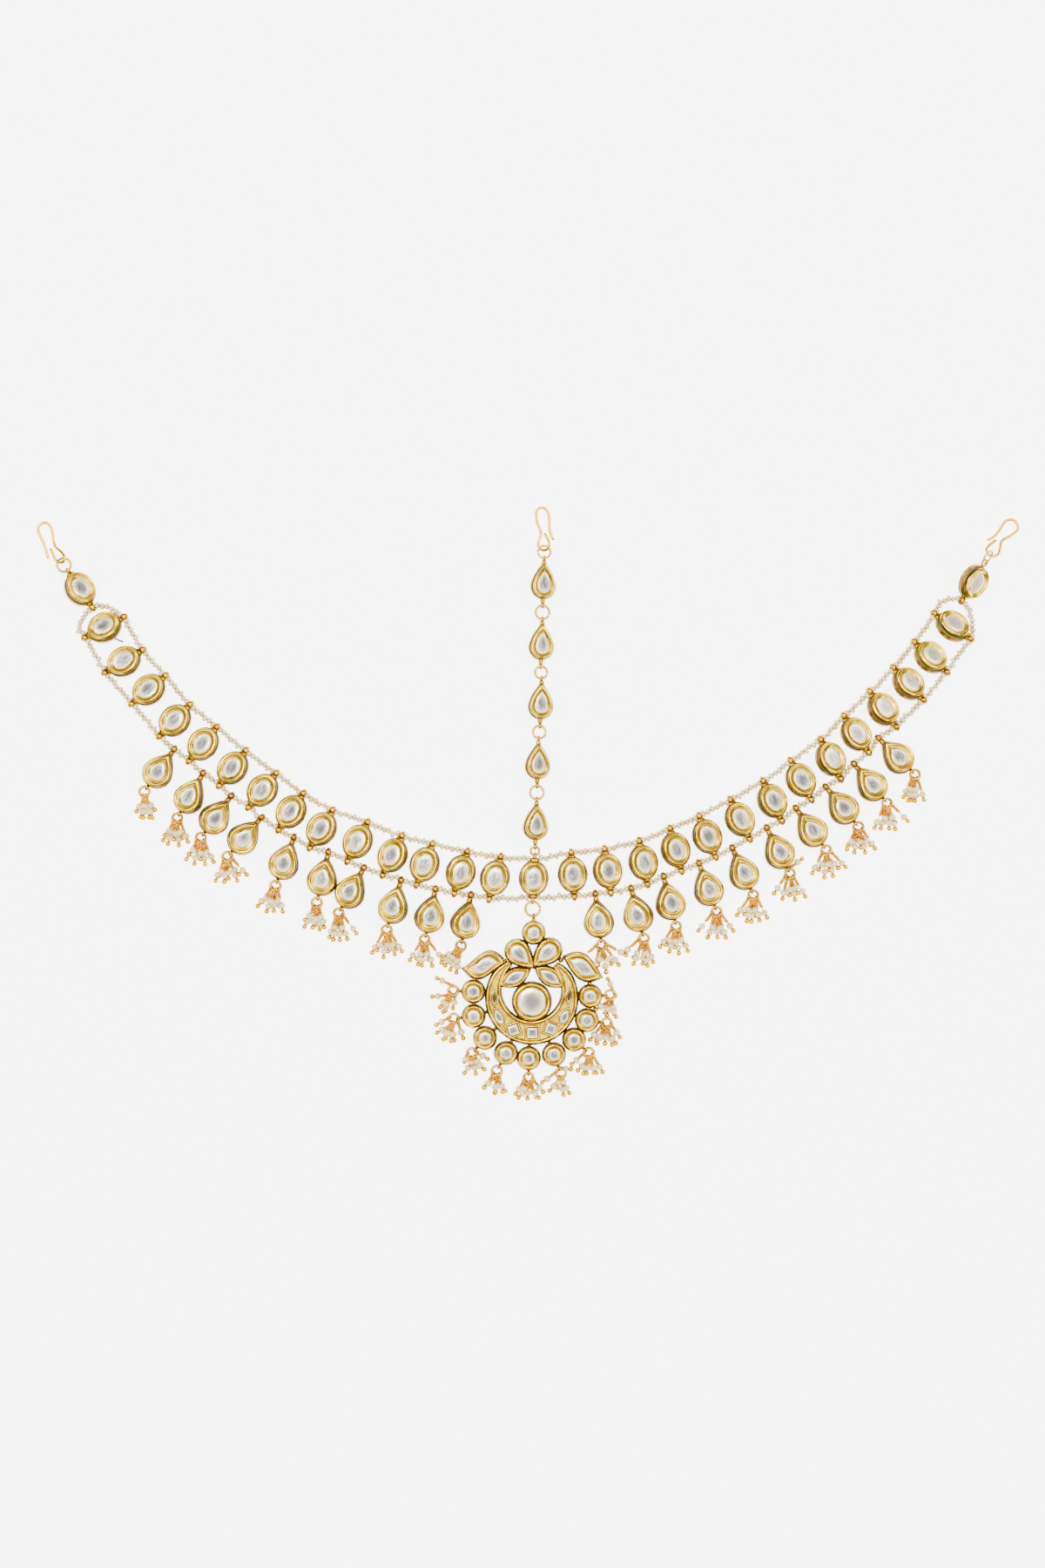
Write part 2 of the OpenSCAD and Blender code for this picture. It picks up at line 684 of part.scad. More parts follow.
module hook_left() {
    color("khaki")
        wire(HOOK_LEFT_ROUTE, hook_wire_r);
}

module hook_right() {
    color("khaki")
        wire(HOOK_RIGHT_ROUTE, hook_wire_r);
}

module hook_top() {
    color("khaki")
        wire(HOOK_TOP_ROUTE, hook_wire_r);
}

// A tassel: its jump ring and the fan of pins and pearls, as one solid of the outer form
function fan_outline(half_angle, inner_r, outer_r) = concat(
    [for (i = [-4:4]) let (a = i * half_angle / 4) [outer_r * cos(a), outer_r * sin(a)]],
    [for (i = [2:-1:-2]) let (a = i * half_angle / 2) [inner_r * cos(a), inner_r * sin(a)]]);

tassel_ring_low = 1.25;
module tassel(hole, ring_turn, fan_turn, fan_half, length) {
    far = ring_end(hole, ring_turn, tassel_ring_r, tassel_ring_low);
    middle = (hole + far) / 2;
    ring_through(hole, far, fine_wire_r);
    translate([middle.x, middle.y, 0])
        rotate([0, 0, fan_turn])
            linear_extrude(tassel_t)
                polygon(fan_outline(fan_half, 1.25, length));
}

module drop_tassels(rows) {
    color("bisque")
        for (row = rows)
            tassel(axis_point(row, foot_half(drop_w), -drop_bottom_reach), row[TURN] + 180,
                row[FAN_TURN], row[FAN_HALF], tassel_l);
}

function round_loop_hole(row) =
    [row[X] + (round_r + loop_beyond_round) * cos(row[TURN]),
     row[Y] + (round_r + loop_beyond_round) * sin(row[TURN]), lug_z];

module tassels_pendant() {
    color("bisque")
        for (row = ROUNDS)
            tassel(round_loop_hole(row), row[TURN], row[FAN_TURN], row[FAN_HALF], pendant_tassel_l);
}

// Outlines of the pendant's pieces in their places
module petal(row, grow = 0) {
    translate([row[0], row[1]])
        rotate(row[2] - 90)
            polygon(drop_outline(row[3] + grow, row[4] + grow));
}

module leaf(row, grow = 0) {
    translate([row[0], row[1]])
        rotate(row[2])
            polygon(leaf_outline(row[3] + grow, row[4] + grow, len(row) > 5 ? row[5] : 0));
}

module pendant_outline(grow) {
    for (row = ROUNDS)
        translate([row[X], row[Y]])
            circle(r = round_r + grow);
    translate(TOP_ROUND)
        circle(r = round_r + grow);
    translate(CENTRE_ROUND)
        circle(r = centre_r + grow);
    for (row = [PETAL_LEFT, PETAL_RIGHT])
        petal(row, grow);
    for (row = [MARQUISE_LEFT, MARQUISE_RIGHT, LEAF_LEFT, LEAF_RIGHT])
        leaf(row, grow);
}

module crescent_outline(grow) {
    difference() {
        translate(CRESCENT)
            circle(r = crescent_r + grow);
        translate(CRESCENT_OPEN)
            circle(r = crescent_inner_r - grow);
        translate(CRESCENT + [-8, 11.6])
            square([16, 6]);
    }
}

module granule_outline() {
    for (place = GRANULES)
        translate(place)
            circle(r = granule_r);
}

// Short bars under the small rounds carry them on the crescent
module bar_outline() {
    for (row = ROUNDS) {
        run = [row[X], row[Y]] - CRESCENT;
        translate(CRESCENT)
            rotate(atan2(run.y, run.x))
                translate([crescent_r - 1, -stem_bar_w / 2])
                    square([norm(run) - crescent_r - 1, stem_bar_w]);
    }
}

module pendant_loops() {
    for (row = ROUNDS)
        translate([row[X], row[Y], 0])
            rotate([0, 0, row[TURN] - 90])
                loop(round_r - 0.4, round_r + loop_beyond_round, ring_lug_w);
    translate([TOP_ROUND.x, TOP_ROUND.y, 0])
        loop(round_r - 0.4, pendant_ring_low.y - TOP_ROUND.y, ring_lug_w);
}

module pendant_loop_bores() {
    for (row = ROUNDS)
        translate([row[X], row[Y], 0])
            rotate([0, 0, row[TURN] - 90])
                loop_bore(round_r + loop_beyond_round);
    translate([TOP_ROUND.x, TOP_ROUND.y, 0])
        loop_bore(pendant_ring_low.y - TOP_ROUND.y);
}

// Outlines of the pendant's stones, larger by a gap for their pockets
module pendant_stone_outlines(grow) {
    for (row = ROUNDS)
        translate([row[X], row[Y]])
            circle(r = round_r * 0.52 + grow);
    translate(TOP_ROUND)
        circle(r = round_r * 0.52 + grow);
    translate(CENTRE_ROUND)
        circle(r = centre_r * 0.68 + grow);
    for (row = [PETAL_LEFT, PETAL_RIGHT])
        translate([row[0], row[1]])
            rotate(row[2] - 90)
                translate([0, -0.5])
                    polygon(drop_outline(row[3] * 0.52 + grow, row[4] * 0.5 + grow));
    for (row = [MARQUISE_LEFT, MARQUISE_RIGHT])
        translate([row[0], row[1]])
            rotate(row[2])
                polygon(leaf_outline(row[3] * 0.6 + 2 * grow, row[4] * 0.52 + grow));
    for (row = [LEAF_LEFT, LEAF_RIGHT])
        translate([row[0], row[1]])
            rotate(row[2])
                polygon(leaf_outline(row[3] * 0.62 + 2 * grow, row[4] * 0.5 + grow, row[5] * 0.6));
    for (row = CRESCENT_STONES)
        translate([row[0], row[1]])
            rotate(row[2])
                square(2 * (row[3] + grow), center = true);
    for (row = concat(CRESCENT_MARQUISES, CRESCENT_SLIVERS))
        translate([row[0], row[1]])
            rotate(row[2])
                polygon(leaf_outline(row[3] + 2 * grow, row[4] + grow));
}

module pendant_frame() {
    color("goldenrod")
        difference() {
            union() {
                linear_extrude(base_h) {
                    pendant_outline(base_flare);
                    crescent_outline(base_flare);
                    granule_outline();
                    bar_outline();
                }
                translate([0, 0, 1])
                    linear_extrude(setting_h - 1)
                        pendant_outline(0);
                translate([0, 0, 1])
                    linear_extrude(rim_shoulder_h - 1)
                        crescent_outline(0);
                pendant_loops();
            }
            translate([0, 0, crescent_floor_h])
                linear_extrude(2)
                    difference() {
                        crescent_outline(-crescent_rim_w);
                        pendant_outline(0);
                    }
            translate([0, 0, pendant_floor_h])
                linear_extrude(3)
                    pendant_stone_outlines(stone_gap);
            pendant_loop_bores();
        }
}

module pendant_stones() {
    color("gainsboro")
        translate([0, 0, pendant_floor_h + stone_lift])
            linear_extrude(pendant_stone_t)
                pendant_stone_outlines(0);
}

for (i = [1:BAND_COUNT])
    band_setting(i);
for (i = [1:STEM_COUNT])
    stem_setting(i);
end_setting_left();
end_setting_right();
drop_settings(DROPS_LEFT);  // drop_settings_left
drop_settings(DROPS_RIGHT);  // drop_settings_right
band_stones();
end_stones();
stem_stones();
drop_stones();
pendant_stones();
pearl_string_upper();
pearl_string_lower();
hook_left();
hook_right();
hook_top();
hook_ring_left();
hook_ring_right();
hook_ring_top();
stem_rings();
pendant_ring();
pendant_frame();
drop_tassels(DROPS_LEFT);  // tassels_left
drop_tassels(DROPS_RIGHT);  // tassels_right
tassels_pendant();
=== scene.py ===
import math
import bpy
import numpy as np
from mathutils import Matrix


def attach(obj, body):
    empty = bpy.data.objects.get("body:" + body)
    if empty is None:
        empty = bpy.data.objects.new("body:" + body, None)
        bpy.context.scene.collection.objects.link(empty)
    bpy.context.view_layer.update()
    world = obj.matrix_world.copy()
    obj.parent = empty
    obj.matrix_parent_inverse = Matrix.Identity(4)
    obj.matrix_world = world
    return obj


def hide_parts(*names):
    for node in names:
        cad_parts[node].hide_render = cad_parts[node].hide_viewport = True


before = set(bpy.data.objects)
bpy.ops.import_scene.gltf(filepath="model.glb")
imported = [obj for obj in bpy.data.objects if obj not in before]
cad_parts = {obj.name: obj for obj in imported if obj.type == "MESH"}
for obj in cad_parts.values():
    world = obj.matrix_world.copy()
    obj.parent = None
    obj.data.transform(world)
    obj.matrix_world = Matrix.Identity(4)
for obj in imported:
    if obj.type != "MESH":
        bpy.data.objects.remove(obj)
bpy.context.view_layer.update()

# The matha patti as it lies: gold settings with flat polki stones, seed pearls, wire tassels.
# Lengths are millimetres in the part's frame, which Build.finish scales to metres. The scales and
# dents of materials, the floor, the lights and the camera are in metres.
rng = np.random.default_rng(11)
MM = 0.001

# A setting's height, the height of its loops' holes, and how far its wall stands out past its width
SETTING_H = 4.0
LUG_Z = 1.3
FLARE = 0.15
# Half length and half width of the settings, and the rounds' radii
OVAL = (5.1, 4.2)
DROP = (5.6, 4.35)
STEM_DROP = (5.2, 3.5)
SMALL_ROUND_R = 3.4
LARGE_ROUND_R = 5.9

# How far from a setting's middle its loops stand, and where thread or a ring passes through them
BAND_LOOP = 6.95
BAND_THREAD = 6.7
CENTRE_LOOP = 6.6
CENTRE_THREAD = 6.05
CENTRE_RING_LOOP = 7.15
CENTRE_RING = 7.2
END_HOOK_LOOP = 6.8
END_THREAD_LOOP = 6.9
STEM_TOP = 7.1
STEM_BOTTOM = 7.6
DROP_THREAD_LOOP = 7.95
DROP_THREAD = 7.8
DROP_BOTTOM = 6.7
ROUND_LOOP = 4.7
# Loops: half length and half height of the line that the wire follows, wire radius, half width
BAND_LUG = (0.85, 0.78, 0.56, 0.92)
DROP_LUG = (0.82, 0.78, 0.54, 0.9)
OVAL_EYE = (0.72, 0.72, 0.36, 0.5)
DROP_EYE = (0.66, 0.66, 0.36, 0.5)
STEM_EYE = (0.66, 0.66, 0.34, 0.42)
ROUND_EYE = (0.62, 0.66, 0.34, 0.42)
TOP_EYE = (0.62, 0.66, 0.34, 0.45)

# Rings' radii, the height of a tassel ring's far side, and the radii of wires and thread
HOOK_RING_R = 2.15
TOP_HOOK_RING_R = 1.95
PENDANT_RING_R = 2.25
TASSEL_RING_R = 1.55
TASSEL_RING_LOW = 1.25
STEM_RING_WIRE = 0.42
CENTRE_RING_WIRE = 0.4
PENDANT_RING_WIRE = 0.46
TASSEL_RING_WIRE = 0.46
TOP_HOOK_RING_WIRE = 0.36
LEFT_HOOK_RING_WIRE = 0.42
RIGHT_HOOK_RING_WIRE = 0.3
HOOK_WIRE = 0.48
HOOK_TIP = 0.38
THREAD_R = 0.13
STUB_R = 0.26

# Tassels: where pins hold on to their ring, their lowest height, and the radii of their parts
PIN_ROOT_R = 1.5
PIN_LOW = 1.15
PIN_TOP = 2.1
PIN_EYE_R = 0.72
PIN_EYE_WIRE = 0.29
PIN_WIRE = 0.2
WRAP_R = 0.36
WRAP_WIRE = 0.26
WRAP_PITCH = 0.5

# x, y, way of the inner or top loop, lean. CENTRE is the entry that carries the pendant.
CENTRE = 14
BAND = [
    (-133.0, 78.4, 28, -16), (-126.9, 67.6, 31, -10), (-119.2, 58.7, 40, -8), (-111.0, 49.0, 46, -4),
    (-102.3, 41.7, 51, -5), (-93.2, 34.3, 53, -7), (-83.8, 27.3, 51, -3), (-75.1, 20.8, 56, -8),
    (-65.7, 15.4, 59, -8), (-54.4, 11.4, 63, -6), (-43.7, 7.2, 64, -9), (-33.5, 4.3, 69, -3),
    (-22.0, 1.7, 73, 3), (-11.5, 0.0, 75, 1), (0.5, -0.1, 87, 0), (12.8, 1.1, 94, 4),
    (23.8, 2.3, 98, 8), (35.0, 4.9, 101, 10), (45.0, 8.9, 105, 10), (54.7, 13.0, 112, 7),
    (64.9, 18.4, 116, 10), (75.1, 24.2, 115, 14), (83.8, 30.6, 118, 10), (93.4, 37.3, 117, 20),
    (101.1, 45.0, 124, 15), (109.6, 53.0, 127, 23), (117.5, 61.0, 133, 25), (124.3, 69.3, 137, 25),
    (131.1, 79.2, 145, 32)]
END_LEFT = (-139.5, 90.1, 124, 18)
END_RIGHT = (138.1, 91.0, 59, 38)
STEM = [(3.9, 92.1, 88, 8), (3.3, 73.2, 88, 8), (3.0, 54.8, 88, 6), (2.2, 36.2, 88, 9), (1.6, 17.3, 88, 9)]
# x, y, way of the top loop, lean, then the ways in which the tassel's pins point. The first drop of
# a side follows this entry of BAND on the lower string, and the others follow the next entries.
FIRST_DROP = {"left": 3, "right": 15}
DROPS = {"left": [
    (-115.7, 33.6, 55, -3, (262, 268, 287, 281)), (-106.4, 25.9, 60, -10, (237, 250, 273, 294)),
    (-97.7, 18.9, 54, 8, (236, 256, 279, 298)), (-89.0, 12.7, 49, 4, (244, 263, 292, 317)),
    (-76.8, 5.3, 69, -2, (229, 251, 266, 286)), (-65.1, 0.4, 77, -3, (243, 261, 276, 287)),
    (-56.4, -3.5, 61, -10, (248, 258, 272, 288, 311)), (-43.2, -8.2, 74, -8, (237, 263, 288, 306)),
    (-31.3, -11.2, 78, 7, (234, 255, 264, 286, 312)), (-20.0, -13.1, 79, 11, (221, 231, 246, 260))
], "right": [
    (20.5, -12.7, 97, -2, (215, 253, 280, 311, 338)), (32.4, -10.9, 104, -6, (216, 248, 268, 278, 292)),
    (43.2, -7.0, 104, 11, (232, 255, 276, 296)), (54.8, -2.7, 110, 8, (226, 251, 272, 290, 312)),
    (65.7, 2.3, 114, 9, (231, 256, 266, 284, 302)), (76.8, 8.8, 117, 11, (231, 253, 281, 304, 51)),
    (86.8, 15.5, 126, 9, (239, 266, 285, 319)), (96.4, 22.4, 129, 8, (243, 261, 285, 308)),
    (105.3, 29.7, 130, 11, (243, 256, 275, 288, 320)), (113.4, 38.2, 135, 11, (243, 256, 263, 270, 290))]}
# The strings' bends between the end settings and the band: x, y, z
WRAP_LEFT_UPPER = [(-134.2, 84.3, 2.4), (-130.2, 83.6, 2.4)]
WRAP_LEFT_LOWER = [(-139.4, 80.6, 2.4), (-140.6, 77.0, 2.4)]
WRAP_RIGHT_UPPER = [(126.2, 85.2, 3.4), (129.6, 86.6, 3.6)]
WRAP_RIGHT_LOWER = [(136.7, 78.8, 2.1), (135.8, 82.4, 2.1)]
# The stiff dark end of a thread beside the first oval: x, y, z
STUB = [(-130.2, 74.5, 1.2), (-129.1, 74.2, 1.3), (-127.9, 73.6, 1.2), (-126.9, 73.3, 1.0)]

# The pendant's small rounds: place, way of the tassel ring, and where the pins' gold balls lie
ROUNDS = [
    (-18.2, -35.2, 178, ((-29.5, -31.1), (-27.6, -41.5), (-24.6, -40.4))),
    (-18.1, -42.8, 188, ((-29.7, -45.6), (-27.5, -50.0), (-25.2, -50.6), (-21.4, -49.7))),
    (-14.6, -49.6, 230, ((-18.9, -58.0), (-16.2, -58.6), (-13.8, -56.2), (-21.0, -57.0))),
    (-8.1, -54.3, 243, ((-14.8, -65.3), (-11.6, -66.7), (-9.2, -66.4))),
    (-1.0, -55.9, 269, ((-5.1, -67.0), (-3.0, -67.2), (1.3, -68.0), (3.5, -66.4))),
    (6.8, -54.7, 290, ((3.2, -63.4), (7.8, -65.1), (10.0, -64.5), (12.1, -59.3))),
    (13.0, -50.1, 318, ((12.4, -57.8), (15.9, -60.7), (19.2, -60.5), (21.9, -60.2))),
    (17.0, -44.1, 351, ((18.1, -50.2), (20.2, -51.3), (24.8, -51.8), (27.3, -49.4))),
    (18.0, -36.6, 2, ((22.6, -41.8), (25.4, -42.1), (23.6, -31.3)))]
# Middle and radius of the crescent and of its opening
CRESCENT = (-0.1, -37.2)
CRESCENT_R = 14.2
CRESCENT_OPEN = (-0.2, -34.8)
CRESCENT_OPEN_R = 9.5
CENTRE_ROUND = (-0.1, -38.3)
TOP_ROUND = (0.5, -17.0)
# x, y, way of the long axis, half length, half width, and a leaf's bend
PETALS = [(-3.4, -24.0, 315, 5.4, 3.7), (4.2, -23.6, 223, 5.4, 3.7)]
MARQUISES = [(-5.4, -30.8, 28, 5.2, 2.7), (5.5, -30.6, -34, 5.2, 2.7)]
LEAVES = [(-14.9, -27.0, 7, 6.6, 3.5, 2.8), (15.7, -27.6, -27, 6.6, 3.5, -1.6)]
GRANULES = [
    (-8.6, -25.8), (8.9, -25.4), (-17.8, -31.4), (17.9, -32.8), (-18.2, -39.0), (17.5, -40.4), (0.2, -27.4)]
# The crescent's stones: x, y, way, and half side or half length and half width
SQUARES = [(-5.8, -47.1, 19, 1.45), (0.1, -48.0, 0, 1.5), (5.8, -46.7, -20, 1.45)]
SLIVERS = [
    (-10.3, -43.0, 116, 2.5, 1.1), (10.0, -43.0, 64, 2.4, 1.1),
    (-11.7, -37.3, 92, 1.9, 0.7), (11.5, -36.7, 84, 1.9, 0.7)]

# The hooks' routes: x, y, z. The wire's middle line is then kept above HOOK_LOW.
LIE = 0.435
HOOK_LOW = 0.51
HOOK_LEFT = [
    (-150.3, 99.0, LIE), (-150.8, 101.3, LIE), (-151.4, 103.2, LIE), (-152.8, 106.4, LIE),
    (-153.4, 108.0, LIE), (-153.1, 109.3, LIE), (-151.6, 110.3, LIE), (-150.2, 109.8, LIE),
    (-149.2, 108.2, LIE), (-148.8, 106.4, 0.45), (-148.5, 104.3, 0.7), (-147.9, 102.7, 1.2),
    (-146.6, 101.6, 1.8), (-145.5, 100.5, 2.5), (-145.0, 99.3, 3.0), (-145.2, 98.3, 2.9),
    (-146.0, 97.8, 2.4), (-147.0, 98.0, 1.8), (-147.9, 98.8, 1.4), (-148.6, 100.1, 1.1),
    (-149.5, 102.3, 0.6)]
HOOK_RIGHT = [
    (141.3, 104.8, LIE), (142.8, 105.5, LIE), (144.3, 106.8, LIE), (145.6, 108.8, LIE), (146.8, 110.5, LIE),
    (148.3, 111.2, LIE), (149.8, 110.9, LIE), (150.8, 109.6, LIE), (150.6, 107.9, LIE), (149.3, 106.7, 0.45),
    (147.6, 105.7, 0.55), (146.2, 104.9, 0.8), (145.5, 103.7, 1.1), (145.2, 102.0, 1.6), (144.7, 100.6, 2.1),
    (143.4, 99.8, 2.5), (142.0, 100.0, 2.7), (141.0, 101.0, 2.6), (141.1, 102.3, 2.2), (142.2, 103.5, 1.6),
    (144.1, 104.9, 1.0)]
HOOK_TOP = [
    (6.7, 104.8, LIE), (5.9, 106.5, LIE), (5.4, 108.5, LIE), (5.3, 111.5, LIE), (4.9, 113.5, LIE),
    (3.9, 114.7, LIE), (2.6, 114.9, LIE), (1.5, 114.1, LIE), (1.2, 112.6, LIE), (1.6, 110.4, LIE),
    (2.4, 108.3, LIE), (2.7, 106.8, LIE), (2.2, 105.0, LIE), (1.9, 103.5, LIE), (2.4, 102.3, 0.5),
    (3.3, 101.7, 1.0), (4.4, 101.8, 1.8), (5.1, 102.5, 2.5), (5.3, 103.6, 2.7), (4.8, 105.2, 2.3),
    (3.8, 107.0, 1.8)]


# Materials

def new_material(name):
    mat = bpy.data.materials.new(name)
    mat.use_nodes = True
    nodes = mat.node_tree.nodes
    return mat, nodes, nodes["Principled BSDF"]


def put(node, values):
    """Fills a node's sockets, by name or number, with constants or with other nodes' outputs."""
    for socket, value in values.items():
        if isinstance(value, bpy.types.NodeSocket):
            node.id_data.links.new(value, node.inputs[socket])
        else:
            node.inputs[socket].default_value = value


def noise_node(nodes, scale, detail=3.0):
    coords = nodes.new("ShaderNodeTexCoord")
    noise = nodes.new("ShaderNodeTexNoise")
    put(noise, {"Vector": coords.outputs["Object"], "Scale": scale, "Detail": detail, "Roughness": 0.55})
    return noise.outputs["Fac"]


def ramp_node(nodes, source, stops):
    ramp = nodes.new("ShaderNodeValToRGB")
    elements = ramp.color_ramp.elements
    while len(elements) < len(stops):
        elements.new(0.5)
    for element, (position, colour) in zip(elements, stops):
        element.position = position
        element.color = (*colour, 1)
    put(ramp, {"Fac": source})
    return ramp.outputs["Color"]


def mix_node(nodes, factor, a, b):
    """A colour between a and b."""
    mix = nodes.new("ShaderNodeMix")
    mix.data_type = "RGBA"
    put(mix, {0: factor, 6: a, 7: b})
    return mix.outputs[2]


def span_node(nodes, source, to_min, to_max, from_min=0.0, from_max=1.0):
    span = nodes.new("ShaderNodeMapRange")
    put(span, {
        "Value": source, "From Min": from_min, "From Max": from_max, "To Min": to_min, "To Max": to_max})
    return span.outputs["Result"]


def sum_node(nodes, source, factor, other):
    """The source times a factor, plus another value."""
    total = nodes.new("ShaderNodeMath")
    total.operation = "MULTIPLY_ADD"
    put(total, {0: source, 1: factor, 2: other})
    return total.outputs["Value"]


def attribute_node(nodes, name, output="Fac"):
    node = nodes.new("ShaderNodeAttribute")
    node.attribute_name = name
    return node.outputs[output]


def bump_node(nodes, height, strength, depth):
    """Dents for a shader's surface, with their depth in metres."""
    bump = nodes.new("ShaderNodeBump")
    put(bump, {"Height": height, "Strength": strength, "Distance": depth})
    return bump.outputs["Normal"]


def metal(name, light, dark, roughness, patch_scale=260, bump_scale=2600, bump=0.15, wear=0.12,
          spread=(0.35, 0.7)):
    """Plated metal whose colour runs from light to dark in patches, with fine dents and duller spots."""
    mat, nodes, shader = new_material(name)
    patches = noise_node(nodes, patch_scale)
    fine = noise_node(nodes, bump_scale, 2.0)
    put(shader, {
        "Base Color": ramp_node(nodes, patches, [(spread[0], light), (spread[1], dark)]),
        "Metallic": 1.0, "Roughness": span_node(nodes, fine, roughness, roughness + wear, 0.3, 0.8),
        "Normal": bump_node(nodes, fine, bump, 0.00006)})
    return mat


def stone_material():
    """Foil-backed flat diamond: a white margin round a grey middle, with dark lines along its long axis and
    patches over its facets painted in as reflections.
    """
    mat, nodes, shader = new_material("polki_stone")
    local = attribute_node(nodes, "local", "Vector")
    deep = attribute_node(nodes, "deep")
    # Noise stretched along the long axis: painted reflection in the grey, and also the table's bump.
    painted_reflection_streaks = nodes.new("ShaderNodeTexNoise")
    put(painted_reflection_streaks, {"Vector": local, "Scale": 1.0, "Detail": 4.0, "Distortion": 0.9})
    painted_facet_reflections = nodes.new("ShaderNodeTexVoronoi")
    put(painted_facet_reflections, {"Vector": local, "Scale": 1.7, "Randomness": 1.0})
    facets = sum_node(nodes, painted_facet_reflections.outputs["Color"], 0.17, painted_reflection_streaks.outputs["Fac"])
    grey = ramp_node(nodes, sum_node(nodes, attribute_node(nodes, "tone"), 0.12, facets), [
        (0.57, (0.02, 0.018, 0.018)), (0.65, (0.07, 0.062, 0.058)), (0.75, (0.26, 0.228, 0.19)),
        (0.88, (0.52, 0.465, 0.37))])
    put(shader, {
        "Base Color": mix_node(nodes, deep, (0.93, 0.80, 0.52, 1), grey),
        "Metallic": span_node(nodes, deep, 0.4, 0.0), "Roughness": 0.16, "IOR": 1.6,
        "Coat Weight": 0.5, "Coat Roughness": 0.04,
        "Normal": bump_node(nodes, painted_reflection_streaks.outputs["Fac"], 0.12, 0.0002)})
    return mat


def pearl_material():
    """Cream nacre, with painted shade: darker and browner towards the drill holes, where the pearls meet."""
    mat, nodes, shader = new_material("seed_pearl")
    body = ramp_node(nodes, attribute_node(nodes, "tone"), [
        (0.0, (0.82, 0.56, 0.18)), (0.5, (0.93, 0.74, 0.34)), (1.0, (0.99, 0.90, 0.60))])
    clouds = noise_node(nodes, 900)
    mixed = mix_node(nodes, clouds, body, (0.92, 0.66, 0.26, 1))
    put(shader, {
        # The deep attribute paints shade in the gaps between pearls.
        "Base Color": mix_node(nodes, attribute_node(nodes, "deep"), mixed, (0.26, 0.135, 0.03, 1)),
        "Roughness": 0.28, "Coat Weight": 1.0, "Coat Roughness": 0.06,
        "Subsurface Weight": 0.08, "Subsurface Radius": (0.001, 0.0008, 0.0006),
        "Normal": bump_node(nodes, clouds, 0.2, 0.0001)})
    return mat


def enamel_and_shade_material():
    """Green enamel in patches; elsewhere the groove is painted dark brown and olive as the shade that falls
    in it.
    """
    mat, nodes, shader = new_material("groove_enamel_and_shade")
    patches = noise_node(nodes, 220)
    colour = ramp_node(nodes, patches, [
        (0.42, (0.14, 0.065, 0.010)), (0.50, (0.06, 0.06, 0.008)), (0.58, (0.016, 0.092, 0.007))])
    put(shader, {
        "Base Color": colour, "Roughness": 0.3, "Specular IOR Level": 0.2,
        "Normal": bump_node(nodes, patches, 0.2, 0.0001)})
    return mat


def thread_material():
    mat, nodes, shader = new_material("cotton_thread")
    fibres = noise_node(nodes, 3000)
    colour = ramp_node(nodes, fibres, [(0.3, (0.75, 0.70, 0.62)), (0.7, (0.88, 0.85, 0.80))])
    put(shader, {"Base Color": colour, "Roughness": 0.85, "Normal": bump_node(nodes, fibres, 0.4, 0.0001)})
    return mat


(RIM, BEVEL, SHADED_WALL, EDGE, ENAMEL_AND_SHADE, FOIL, LUG, LUG_DARK, STONE,
 PEARL, THREAD, COPPER, BALL, WIRE, FLOOR_GOLD, STEEL, PIT_SHADE) = range(17)
MATERIALS = [
    metal("rim_gold", (0.97, 0.635, 0.012), (0.36, 0.195, 0.003), 0.12, patch_scale=300, bump=0.10, wear=0.08,
          spread=(0.38, 0.63)),
    metal("bevel_gold", (0.92, 0.60, 0.038), (0.54, 0.30, 0.010), 0.24, patch_scale=700, bump_scale=3800,
          # The wall gold is painted far darker than the rim gold: painted shade on the settings' sides, their
          # feet, the crescent's walls and the pendant's bars.
          bump=0.22),
    metal("wall_gold_painted_shade", (0.32, 0.175, 0.013), (0.08, 0.036, 0.004), 0.36, patch_scale=600, bump_scale=1700,
          bump=0.9),
    metal("edge_shadow", (0.17, 0.09, 0.007), (0.012, 0.005, 0.0015), 0.35, patch_scale=190,
          spread=(0.42, 0.56)),
    enamel_and_shade_material(),
    metal("silver_foil", (0.94, 0.80, 0.50), (0.70, 0.50, 0.20), 0.28),
    metal("lug_gold", (0.66, 0.38, 0.022), (0.31, 0.15, 0.009), 0.2, patch_scale=600, bump=0.25),
    metal("lug_copper", (0.48, 0.25, 0.02), (0.19, 0.08, 0.008), 0.24, patch_scale=600, bump=0.3),
    stone_material(),
    pearl_material(),
    thread_material(),
    metal("tassel_wire", (0.83, 0.44, 0.012), (0.47, 0.19, 0.006), 0.22, patch_scale=700),
    metal("gold_ball", (0.90, 0.55, 0.012), (0.60, 0.31, 0.006), 0.16, patch_scale=900),
    metal("ring_wire", (0.66, 0.40, 0.045), (0.34, 0.17, 0.014), 0.18, patch_scale=600),
    metal("crescent_floor", (0.60, 0.40, 0.035), (0.26, 0.15, 0.012), 0.36, patch_scale=700, bump_scale=1400,
          bump=0.9),
    metal("wire_end", (0.10, 0.085, 0.075), (0.05, 0.04, 0.035), 0.35),
    # Near-black brown for pits and recesses: painted shade.
    metal("dark_pit_shade", (0.10, 0.05, 0.010), (0.022, 0.010, 0.003), 0.5, patch_scale=500)]


# Mesh building

def add_object(name, data):
    item = bpy.data.objects.new(name, data)
    bpy.context.scene.collection.objects.link(item)
    return item


def full_turn(n):
    """The angles of n points set evenly round a circle."""
    return np.arange(n) * 2 * math.pi / n


